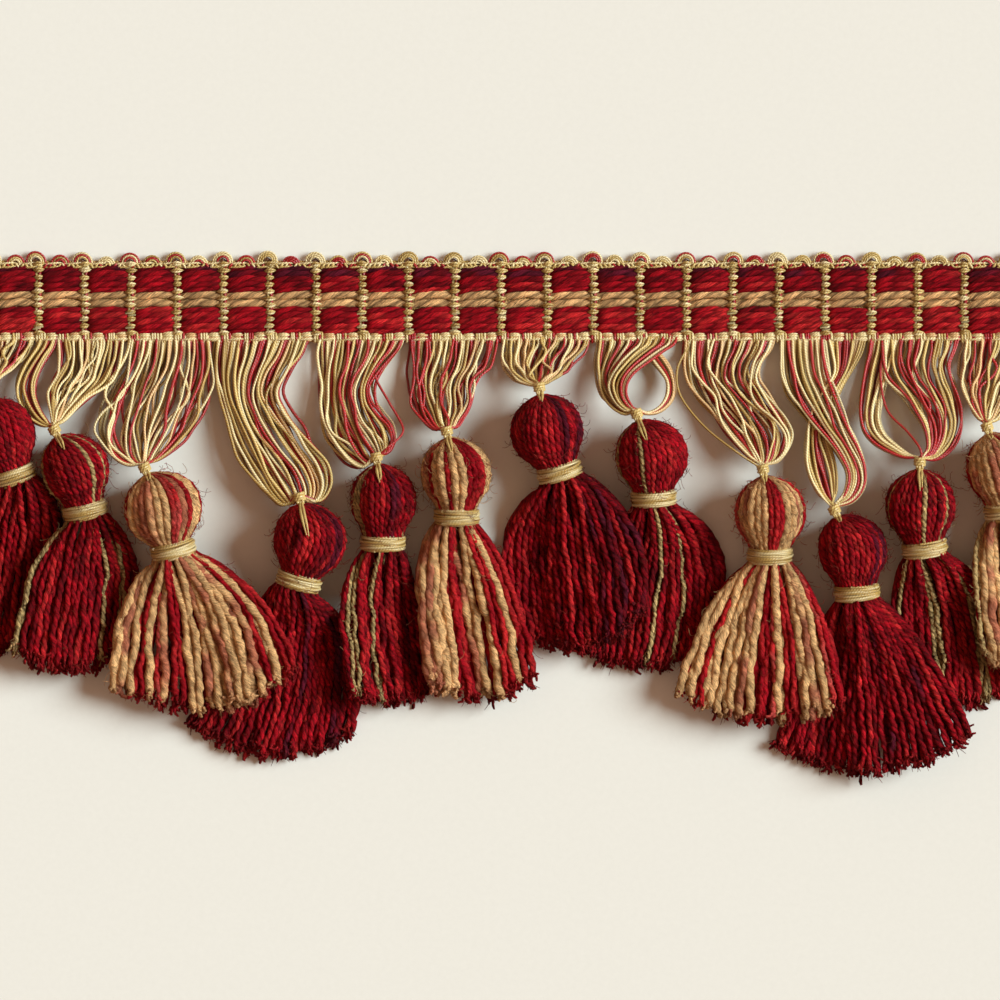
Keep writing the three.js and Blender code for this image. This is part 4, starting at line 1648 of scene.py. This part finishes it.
@dataclass
class Hanger(HungPiece):
    """The thread that ties a tassel to its cluster: a few turns, a link and a tail."""

    turns: float = 3.2
    points_per_turn: int = 14
    reach: float = 1.15
    half_height: float = 0.85
    thread_radius: float = 0.4
    link_step: float = 0.7
    tail_step: float = 0.6
    usual_tail: float = 3.2
    seed: int = 71

    # The tails that are longer than usual, by the tassel's index.
    tails = {1: 5.0, 3: 9.0, 4: 6.0, 5: 5.0, 7: 6.5, 10: 6.5}

    def build(self) -> bpy.types.Object:
        """Builds and dresses the hanger.

        Returns:
            The piece.
        """
        ring, hang, beside = self.ring, self.hang, self.beside
        up = np.cross(beside, hang)
        skein = Skein(Section(5))
        shade = Dye.GOLD.colour
        angles = np.linspace(0, FULL_TURN * self.turns, int(self.turns * self.points_per_turn))
        along = np.linspace(self.half_height, -self.half_height, len(angles)) + 0.1 * np.sin(angles * 0.7)
        coil = (
            ring
            + np.outer(along, hang)
            + np.outer(np.cos(angles) * self.reach, beside)
            + np.outer(np.sin(angles) * self.reach, up)
        )
        skein.lay(coil, self.thread_radius, shade)
        pole = self.head + hang * (self.place.half_length - 0.6)
        for side in (-0.5, 0.5):
            link = through(
                [
                    ring + beside * side * 1.6 + up * 0.9,
                    ring - hang * 1.3 + beside * side * 1.2 + up * 0.8,
                    pole + beside * side + up * 0.4,
                    pole - hang * 1.5 + up * 0.2,
                ],
                self.link_step,
            )
            skein.lay(link, self.thread_radius * 0.95, shade * self.rng.uniform(0.9, 1.05))
        for side in (-1, 1):
            self._lay_tail(skein, side)
        mesh = skein.mesh(f"hanger_thread_{self.number}", floor=TABLE_FLOOR)
        return self._dressed([mesh], self.palette.thread, "tie_thread", "hanger")

    def _lay_tail(self, skein: Skein, side: int) -> None:
        """Lays one of the two threads that run from the knot onto the head's dome.

        Args:
            skein: The skein that takes it.
            side: The side that it lies on, -1 or 1.
        """
        ring, head = self.ring, self.head
        towards = unit(np.array([head[0] - ring[0], head[1] - ring[1], 0.0]))
        sideways = np.array([-towards[1], towards[0], 0.0])
        length = self.tails.get(self.index, self.usual_tail) * self.rng.uniform(0.92, 1.08)
        spots = [ring + np.array([0, 0, self.reach])]
        for share in np.linspace(0, 1, 7)[1:]:
            apart = side * 0.38 * math.sin(math.pi * share * 0.8) + self.rng.normal(0, 0.06)
            spot = ring + towards * length * share + sideways * apart
            away = math.hypot(spot[0] - head[0], spot[1] - head[1]) / self.place.half_length
            dome = head[2] + self.place.radius * math.sqrt(max(1 - away**2, 0.0)) + 0.3
            spots.append(np.array([spot[0], spot[1], max(dome, ring[2] + 0.7)]))
        path = through(spots, self.tail_step)
        along = lengths_along(path) / lengths_along(path)[-1]
        skein.lay(path, self.thread_radius * (1 - 0.6 * smooth_share(along, 0.6, 1.0)), Dye.GOLD.colour)


@dataclass(frozen=True)
class Seat:
    """A yarn's seat in a row: the share across at which its middle lies, and the share that it takes."""

    yarn: Yarn
    middle: float
    width: float


@dataclass(frozen=True)
class SkirtLayer:
    """One layer of a skirt: its yarns, how deep they lie, how long and thick they are, and its tone, which
    darkens the deeper layers as painted shade.
    """

    row: list[Seat]
    shallow: float
    deep: float
    length: float
    size: float
    tone: float
    on_top: bool = False


@dataclass
class Tassel(HungPiece):
    """A wool tassel: yarn laid over a ball as its head, drawn in at the neck, and hanging as its skirt."""

    shaped_step: float = 0.79
    plain_step: float = 1.7
    root_radius: float = 5.8
    overlap: float = 0.86
    back_seen: float = 0.1
    skirt_points: int = 24
    tufts_per_yarn: int = 5
    fibres_per_yarn: int = 4
    cut_floor: float = 0.25
    fluff: int = 760
    fluff_pale: int = 1100
    short_per_long: int = 4
    curl_radius: float = 0.06
    swell_drop: float = 0.33
    core_inset: float = 1.5
    core_neck: float = 3.7
    core_neck_length: float = 8.0
    core_neck_middle: float = 8.5
    seed: int = 131

    # The angles along the head, from its pole to where its neck begins, and then the neck's stations:
    # how far along the axis, how far from it, and the share of the yarn's slant.
    head_angles = (-84, -68, -46, -22, 0, 22, 42)
    neck_stations = ((8.1, 5.3, 0.9), (9.3, 4.6, 0.95), (11.0, 4.5, 1.0))

    # The stations of a yarn under the tie: how far along the axis, and the share that it is drawn in to.
    tie_stations = ((8.6, 0.72), (10.2, 0.74), (11.7, 0.83))

    # The radii at the foot, middle and tip of a parted ply, as shares of the yarn's, and then of the
    # fibres at a cut end and of the short ones on a yarn.
    tuft_shares = np.array([0.5, 0.62, 0.4])
    end_fibre = np.array([0.12, 0.1, 0.06])
    short_fibre = np.array([0.09, 0.07, 0.055])

    def __post_init__(self) -> None:
        """Settles the tassel's own tables and its empty skeins."""
        super().__post_init__()
        self.spread = SPREADS[self.index]
        self.order = ORDERS[self.index]
        self.tie = self.place.tie(self.index)
        self.shaped = Skein(Section(6, 0.14))
        self.soft = Skein(Section(6, 0.05))
        self.plain = Skein(Section(5))
        self.tufts = Skein(Section(3))
        self.down = Skein(Section(3))

    def build(self) -> bpy.types.Object:
        """Builds and dresses the tassel.

        Returns:
            The piece.
        """
        self._lay_head()
        self._lay_tufts(self._lay_skirt())
        self._lay_down(self.shaped.strands + self.soft.strands)
        name = f"tassel_wool_{self.number}"
        skeins = [skein for skein in (self.shaped, self.soft, self.plain) if skein.strands]
        meshes = [
            *(skein.mesh(name, floor=0.0) for skein in skeins),
            self.tufts.mesh(name + "_tufts", floor=0.0),
            self.down.mesh(name + "_down", floor=0.02),
            self._core(name + "_core"),
        ]
        mix_of = self.place.mix
        return self._dressed(meshes, self.palette.wool[mix_of], mix_of.value, "tassel")

    def _row(self, letters: str) -> list[Seat]:
        """The seats of a row from left to right.

        Args:
            letters: The letters that stand for the yarns.

        Returns:
            A seat for each yarn.
        """
        yarns = [pick_yarn(letter, self.rng) for letter in letters]
        widths = np.array([yarn.spin.radius for yarn in yarns])
        widths = widths / widths.sum()
        return [Seat(*found) for found in zip(yarns, np.cumsum(widths) - widths / 2, widths)]

    def _lay_head(self) -> None:
        """Lays the yarns over the ball, from the pole under the knot to the neck, front and back."""
        place, rng = self.place, self.rng
        slant = rng.uniform(-0.05, 0.2)
        for back in (False, True):
            for seat in self._row(self.order.head):
                angle = -math.pi * seat.middle if back else math.pi * (1 - seat.middle)
                arc = seat.width * math.pi
                radius = arc * place.radius / (2 * self.overlap + arc)
                seen = not back or min(seat.middle, 1 - seat.middle) < self.back_seen
                path = through(
                    self._head_spots(angle, slant, radius), self.shaped_step if seen else self.plain_step
                )
                from_axis = np.linalg.norm(np.cross(path - self.head, place.axis), axis=1)
                pinched = radius * np.clip(from_axis / (place.radius - radius) * 1.15, 0.45, 1.0)
                path[:, 2] = np.maximum(path[:, 2], radius * 0.8)
                shade = yarn_shade(seat.yarn, lengths_along(path), rng)
                self._lay_yarn(seat.yarn, path, pinched, shade, seen)

    def _head_spots(self, angle: float, slant: float, radius: float) -> list[np.ndarray]:
        """The places that a yarn passes over the head, which is bent towards the knot at its pole.

        Args:
            angle: Where the yarn lies round the head.
            slant: How far it turns round the head on its way.
            radius: The yarn's radius.

        Returns:
            The places.
        """
        place = self.place
        swing = Vector(-place.axis).rotation_difference(Vector(self.hang))
        reach = place.radius + self.rng.normal(0, 0.2)
        arcs = np.radians(self.head_angles)
        profile = [(place.half_length * math.sin(a), reach * math.cos(a), slant * a) for a in arcs]
        profile += [(along, out, slant * share) for along, out, share in self.neck_stations]
        spots = []
        for along, out, twist in profile:
            inner = max(out - radius, 0.75)
            spot = (
                place.axis * along
                + place.across * inner * math.cos(angle + twist)
                + place.rise * inner * math.sin(angle + twist)
            )
            share = float(1 - smooth_share(along, -place.half_length, 6.0))
            spots.append(self.head + np.array(Quaternion().slerp(swing, share) @ Vector(spot)))
        return spots

    def _lay_yarn(
        self, yarn: Yarn, path: np.ndarray, radius: np.ndarray, shade: np.ndarray, seen: bool
    ) -> Strand:
        """Lays a yarn, with shaped plies where it is seen.

        Args:
            yarn: The yarn.
            path: Its points.
            radius: Its radius at each point.
            shade: Its colour at each point.
            seen: Whether it lies on top.

        Returns:
            The strand.
        """
        phase = self.rng.uniform(0, math.pi)
        lumpy = radius * (1 + 0.1 * wander(lengths_along(path), 3.2, self.rng))
        if seen:
            skein = self.soft if yarn.is_pale else self.shaped
            skein.lay(path, lumpy, shade, turn_length=yarn.spin.turn_length, phase=phase)
        else:
            skein = self.plain
            skein.lay(path, lumpy, shade, phase=phase, drawn_length=yarn.spin.turn_length)
        return skein.strands[-1]

    def _skirt_points(
        self, across: np.ndarray, down: np.ndarray, depth: float, margin: float
    ) -> np.ndarray:
        """Places in the skirt.

        Args:
            across: Shares across it, from -1 to 1.
            down: Shares down it, from 0 at the neck's end to 1 at its ends.
            depth: The share through it, from 0 on top to 1 underneath.
            margin: How far the places stay inside its top and underside.

        Returns:
            The points.
        """
        place, spread = self.place, self.spread
        side = (across + 1) / 2
        neck = self.head + place.axis * place.neck_end
        root = neck + across[:, None] * place.across * self.root_radius
        fall = wing(spread.drop, across, across**2)
        end = np.column_stack([self.tie[0] + mix(*spread.reach, side), self.tie[1] - fall])
        swell = self.tie[0] + mix(*spread.swell, side)
        pull = np.column_stack([swell, self.tie[1] - fall * self.swell_drop])
        up = (1 - down)[:, None]
        low = down[:, None]
        flat = up * up * root[:, :2] + 2 * up * low * pull + low * low * end
        bundle = self.root_radius * np.sqrt(np.maximum(1 - across**2, 0.05))
        outward = smooth_share(np.abs(across), 0, 0.6)
        base = wing(spread.lift, across, outward)
        thick = wing(spread.thick, across, outward)
        over = mix(neck[2] + bundle, base + thick, smooth_share(down, 0, 0.5))
        under = mix(neck[2] - bundle, base, smooth_share(down, 0, 0.45))
        level = mix(over - margin, np.minimum(under + margin, over - margin), depth)
        return np.column_stack([flat, level])

    def _lay_skirt(self) -> list[Strand]:
        """Lays the skirt's yarns in three layers.

        Returns:
            The yarns.
        """
        row = self._row(self.order.skirt)
        under, lowest = round(len(row) * 1.15), round(len(row) * 0.75)
        # The deeper layers' lower tones are painted shade.
        layers = (
            SkirtLayer(row, 0.0, 0.18, length=0.965, size=1.0, tone=1.0, on_top=True),
            SkirtLayer(self._under_row(under, 0.5), 0.38, 0.5, length=0.98, size=1.15, tone=0.85),
            SkirtLayer(self._under_row(lowest, 0.7), 0.78, 1.0, length=0.985, size=1.1, tone=0.75),
        )
        return [self._lay_skirt_yarn(layer, seat) for layer in layers for seat in layer.row]

    def _lay_skirt_yarn(self, layer: SkirtLayer, seat: Seat) -> Strand:
        """Lays one yarn of the skirt.

        Args:
            layer: Its layer.
            seat: Its seat in the layer.

        Returns:
            The strand.
        """
        rng = self.rng
        base = seat.yarn.spin.radius * layer.size
        finish = seat.middle * 2 - 1 + rng.uniform(-0.5, 0.5) * seat.width
        start = np.clip(finish + rng.normal(0, 0.1), -0.98, 0.98)
        down = np.linspace(0, layer.length * rng.uniform(0.975, 1.015), self.skirt_points)
        across = mix(start, finish, smooth_share(down, 0, 0.45))
        body = self._skirt_points(across, down, rng.uniform(layer.shallow, layer.deep), base * 0.9)
        spots = np.vstack([self._under_tie(body[0]), body])
        path = evenly(spots, self.shaped_step if layer.on_top else self.plain_step)
        along = lengths_along(path)
        sway = smooth_share(along, 5.0, 24.0)
        path[:, 0] += wander(along, 21.0, rng) * 0.42 * sway + wander(along, 6.0, rng) * 0.15 * sway
        path[:, 2] += wander(along, 13.0, rng) * 0.35 * sway
        path[:, 2] = np.maximum(path[:, 2], base * 0.75)
        swell = mix(0.62, 1.0, smooth_share(along, 3.0, 9.0))
        taper = 1 - 0.35 * smooth_share(along, along[-1] - 1.2, along[-1])
        radius = base * swell * taper * rng.uniform(0.9, 1.08)
        # The layer's tone is painted shade on the deeper layers.
        shade = yarn_shade(seat.yarn, along, rng) * layer.tone
        return self._lay_yarn(seat.yarn, path, radius, shade, layer.on_top)

    def _under_row(self, count: int, dark: float) -> list[Seat]:
        """The seats of a layer under the top one.

        Args:
            count: How many yarns it has.
            dark: The share of them that are crimson, whatever lies over them.

        Returns:
            A seat for each yarn.
        """
        letters = self.order.skirt
        row = []
        for k in range(count):
            share = (k + 0.5) / count
            letter = "c" if self.rng.random() < dark else letters[int(share * len(letters))]
            row.append(Seat(pick_yarn(letter, self.rng), share, 1 / count))
        return row

    def _under_tie(self, start: np.ndarray) -> np.ndarray:
        """The points of a yarn under the tie, drawn in from where it leaves the tie.

        Args:
            start: The place where the yarn leaves the tie.

        Returns:
            The points.
        """
        axis = self.place.axis
        out = start - (self.head + axis * self.place.neck_end)
        return np.array([self.head + axis * along + out * share for along, share in self.tie_stations])

    def _lay_tufts(self, yarns: list[Strand]) -> None:
        """Opens the cut ends: each yarn's plies part, and loose fibres stand out of them.

        Args:
            yarns: The skirt's yarns.
        """
        rng = self.rng
        for yarn in yarns:
            tip, heading = yarn.path[-1], unit(yarn.path[-1] - yarn.path[-4])
            size = yarn.radius[len(yarn.radius) // 2]
            # Mixed towards rose: painted light that the cut fibres scatter.
            shade = mix(yarn.shade[-1], Dye.ROSE.colour, 0.12)
            for _ in range(self.tufts_per_yarn):
                away = unit(heading + rng.normal(0, 0.5, 3))
                start = tip - heading * rng.uniform(0.6, 1.6) + rng.normal(0, 0.4, 3)
                reach = rng.uniform(1.1, 2.3)
                path = np.array([start, start + (heading + away) * reach * 0.3, start + away * reach])
                path[:, 2] = np.maximum(path[:, 2], self.cut_floor)
                tone = rng.uniform(0.8, 1.3)
                self.tufts.lay(path, size * self.tuft_shares, shade * tone, drawn_length=2.0)
            for _ in range(self.fibres_per_yarn):
                away = unit(heading + rng.normal(0, 0.6, 3))
                start = tip + rng.normal(0, 0.4, 3) - heading * rng.uniform(0.2, 1.2)
                reach = rng.uniform(1.0, 2.2)
                bend = rng.normal(0, 0.35, 3)
                middle = start + away * reach * 0.5 + bend * 0.4
                path = np.array([start, middle, start + away * reach + bend])
                # A little lighter than the end: painted light that the thin fibres let through.
                self.down.lay(path, self.end_fibre, shade * rng.uniform(1.0, 1.3))

    def _lay_down(self, yarns: list[Strand]) -> None:
        """Lays short fibres that stand off the yarns, and long curly ones round them.

        Args:
            yarns: The yarns that they leave.
        """
        rng = self.rng
        pale = self.place.mix is Mix.TAN
        for number in range(self.fluff_pale if pale else self.fluff):
            yarn = yarns[rng.integers(len(yarns))]
            spot = rng.integers(3, len(yarn.path) - 2)
            course = unit(yarn.path[spot + 1] - yarn.path[spot - 1])
            outward = yarn.path[spot] - self.head
            outward = outward - self.place.axis * float(outward @ self.place.axis)
            away = unit(rng.normal(0, 0.8, 3) + unit(outward) * 0.7)
            start = yarn.path[spot] + away * yarn.radius[spot] * 0.7
            # Mostly lighter than their yarn, the curly ones mixed towards blush: painted light that the thin
            # fibres let through.
            shade = yarn.shade[spot] * rng.uniform(0.9, 1.5)
            if number % (self.short_per_long + 1):
                bend = course * rng.uniform(-1, 1)
                lift = away * rng.uniform(0.5, 1.3)
                path = np.array([start, start + lift * 0.6 + bend * 0.5, start + lift + bend * 1.4])
                self.down.lay(path, self.short_fibre, shade)
                continue
            shares = np.linspace(0, 1, 7)[:, None]
            reach = rng.uniform(2.2, 6.0)
            curl = rng.uniform(0.4, 1.1)
            side = unit(np.cross(course, away))
            turns = rng.uniform(3, 7)
            swirl = np.sin(shares * turns) * side + (1 - np.cos(shares * turns)) * course
            path = start + away * shares * reach * 0.6 + swirl * curl
            self.down.lay(path, self.curl_radius, mix(shade, Dye.BLUSH.colour, 0.35))

    def _core(self, name: str) -> bpy.types.Mesh:
        """The ball and neck under the yarns, darkened as painted shade where they show between the yarns.

        Args:
            name: The mesh's name.

        Returns:
            The mesh, in metres.
        """
        place = self.place
        ball = bmesh.new()
        bmesh.ops.create_uvsphere(ball, u_segments=20, v_segments=12, radius=1.0)
        reach = (place.radius - self.core_inset) * MM
        bmesh.ops.scale(ball, vec=(reach, reach, (place.half_length - 1.4) * MM), verts=ball.verts)
        bmesh.ops.create_cone(
            ball,
            cap_ends=True,
            segments=16,
            radius1=self.core_neck * MM,
            radius2=self.core_neck * MM,
            depth=self.core_neck_length * MM,
            matrix=Matrix.Translation((0, 0, self.core_neck_middle * MM)),
        )
        turn = Matrix((place.across, -place.rise, place.axis)).transposed()
        bmesh.ops.rotate(ball, matrix=turn, verts=ball.verts)
        bmesh.ops.translate(ball, vec=Vector(self.head * MM), verts=ball.verts)
        mesh = bpy.data.meshes.new(name)
        ball.to_mesh(mesh)
        ball.free()
        # The core is the wool's dye darkened: painted shade in the gaps between the yarns.
        colour = Dye.BLUSH.colour * 0.35 if place.mix is Mix.TAN else Dye.DEEP.colour * 0.5
        count = len(mesh.vertices)
        write_attribute(mesh, "shade", "FLOAT_COLOR", np.tile([*colour, 1.0], count))
        write_attribute(mesh, "course", "FLOAT_VECTOR", np.tile([0.0, 1.0, 0.0], count))
        write_attribute(mesh, "lay", "FLOAT", np.zeros(count))
        return mesh


@dataclass
class Tie(HungPiece):
    """Gold thread wound round a tassel's neck."""

    reach: float = 4.95
    half_height: float = 1.95
    thread_radius: float = 0.32
    points_per_turn: int = 20
    seed: int = 211

    # The windings from the inside out: turns, how much further out, and the share of the half height.
    windings = ((7, 0.0, 1.0), (5, 0.3, -0.85), (2, 0.5, 0.75))

    def build(self) -> bpy.types.Object:
        """Builds and dresses the tie.

        Returns:
            The piece.
        """
        skein = Skein(Section(5))
        for turns, further, share in self.windings:
            self._wind(skein, turns, self.reach + further, self.half_height * share)
        mesh = skein.mesh(f"tie_thread_{self.number}", floor=TABLE_FLOOR)
        return self._dressed([mesh], self.palette.thread, "tie_thread", "tie")

    def _wind(self, skein: Skein, turns: int, reach: float, half: float) -> None:
        """Winds thread round the neck.

        Args:
            skein: The skein that takes it.
            turns: How many times it goes round.
            reach: How far it lies from the neck's middle.
            half: Half the height that it covers.
        """
        place, rng = self.place, self.rng
        angles = np.linspace(0, FULL_TURN * turns, turns * self.points_per_turn) + rng.uniform(0, 6)
        along = np.linspace(-half, half, len(angles)) + wander(angles, 8.0, rng) * 0.16
        out = reach + wander(angles, 5.0, rng) * 0.08 - 0.3 * (along / self.half_height) ** 2
        path = (
            place.tie(self.index)
            + np.outer(along, place.axis)
            + (np.cos(angles) * out)[:, None] * place.across
            + (np.sin(angles) * out)[:, None] * place.rise
        )
        blend = smooth_share(wander(angles, 5.0, rng), -0.5, 0.9)[:, None]
        skein.lay(path, self.thread_radius, mix(Dye.MOSS.colour, Dye.CREAM.colour * 0.85, blend))


@dataclass
class Studio:
    """The pale table, the soft light and the camera over it."""

    paper: tuple[float, float, float] = linear(238, 234, 225)
    table_half: float = 2000.0
    table_drop: float = 0.2
    middle: tuple[float, float] = (-0.24, -48.0)
    height: float = 2400.0
    view_width: float = 240.0
    sensor: float = 36.0
    key_direction: tuple[float, float, float] = (0.78, 0.16, 0.55)
    key_softness: float = 32.0
    key_strength: float = 4.48
    key_colour: tuple[float, float, float] = (0.86, 1.0, 1.03)
    air: tuple[float, float, float] = (0.33, 0.205, 0.14)

    def build(self) -> None:
        """Builds the stage."""
        self._table()
        self._lights()
        self._camera()

    def _table(self) -> None:
        """The flat paper under the trimming."""
        sheet = bmesh.new()
        bmesh.ops.create_grid(sheet, x_segments=2, y_segments=2, size=self.table_half * MM)
        bmesh.ops.translate(sheet, vec=(0, 0, -self.table_drop * MM), verts=sheet.verts)
        mesh = bpy.data.meshes.new("table")
        sheet.to_mesh(mesh)
        sheet.free()
        mesh.materials.append(PaperFinish("table_paper", self.paper).build())
        placed("table", mesh)

    def _lights(self) -> None:
        """A wide soft light from the right, and pale warm air."""
        world = bpy.data.worlds.new("studio")
        world.use_nodes = True
        world.node_tree.nodes["Background"].inputs["Color"].default_value = (*self.air, 1.0)
        bpy.context.scene.world = world
        lamp = bpy.data.lights.new("key", "SUN")
        lamp.angle = math.radians(self.key_softness)
        lamp.energy = self.key_strength
        lamp.color = self.key_colour
        key = placed("key", lamp)
        key.rotation_mode = "QUATERNION"
        key.rotation_quaternion = (-Vector(self.key_direction)).to_track_quat("-Z", "Y")

    def _camera(self) -> None:
        """A long lens straight above the middle of the picture."""
        lens = bpy.data.cameras.new("above")
        lens.sensor_width = self.sensor
        lens.lens = self.sensor * self.height / self.view_width
        lens.clip_end = 10.0
        camera = placed("above", lens)
        camera.location = (self.middle[0] * MM, self.middle[1] * MM, self.height * MM)
        bpy.context.scene.camera = camera
        bpy.context.scene.view_settings.view_transform = "Standard"


def main() -> None:
    """Builds the stage and every piece in order, and notes the sizes."""
    logging.basicConfig(level=logging.INFO, format="%(message)s")
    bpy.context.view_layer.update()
    Studio().build()
    palette = Palette.build()
    pieces = Heading(palette).build()
    for index in range(TASSEL_COUNT):
        for kind in (LoopCluster, Hanger, Tassel, Tie):
            pieces.append(kind(index, palette).build())
    total = 0
    for piece in pieces:
        piece.data.calc_loop_triangles()
        total += len(piece.data.loop_triangles)
        LOG.info("%s: %d triangles", piece.name, len(piece.data.loop_triangles))
    LOG.info("all pieces: %d triangles", total)


if __name__ == "__main__":
    main()
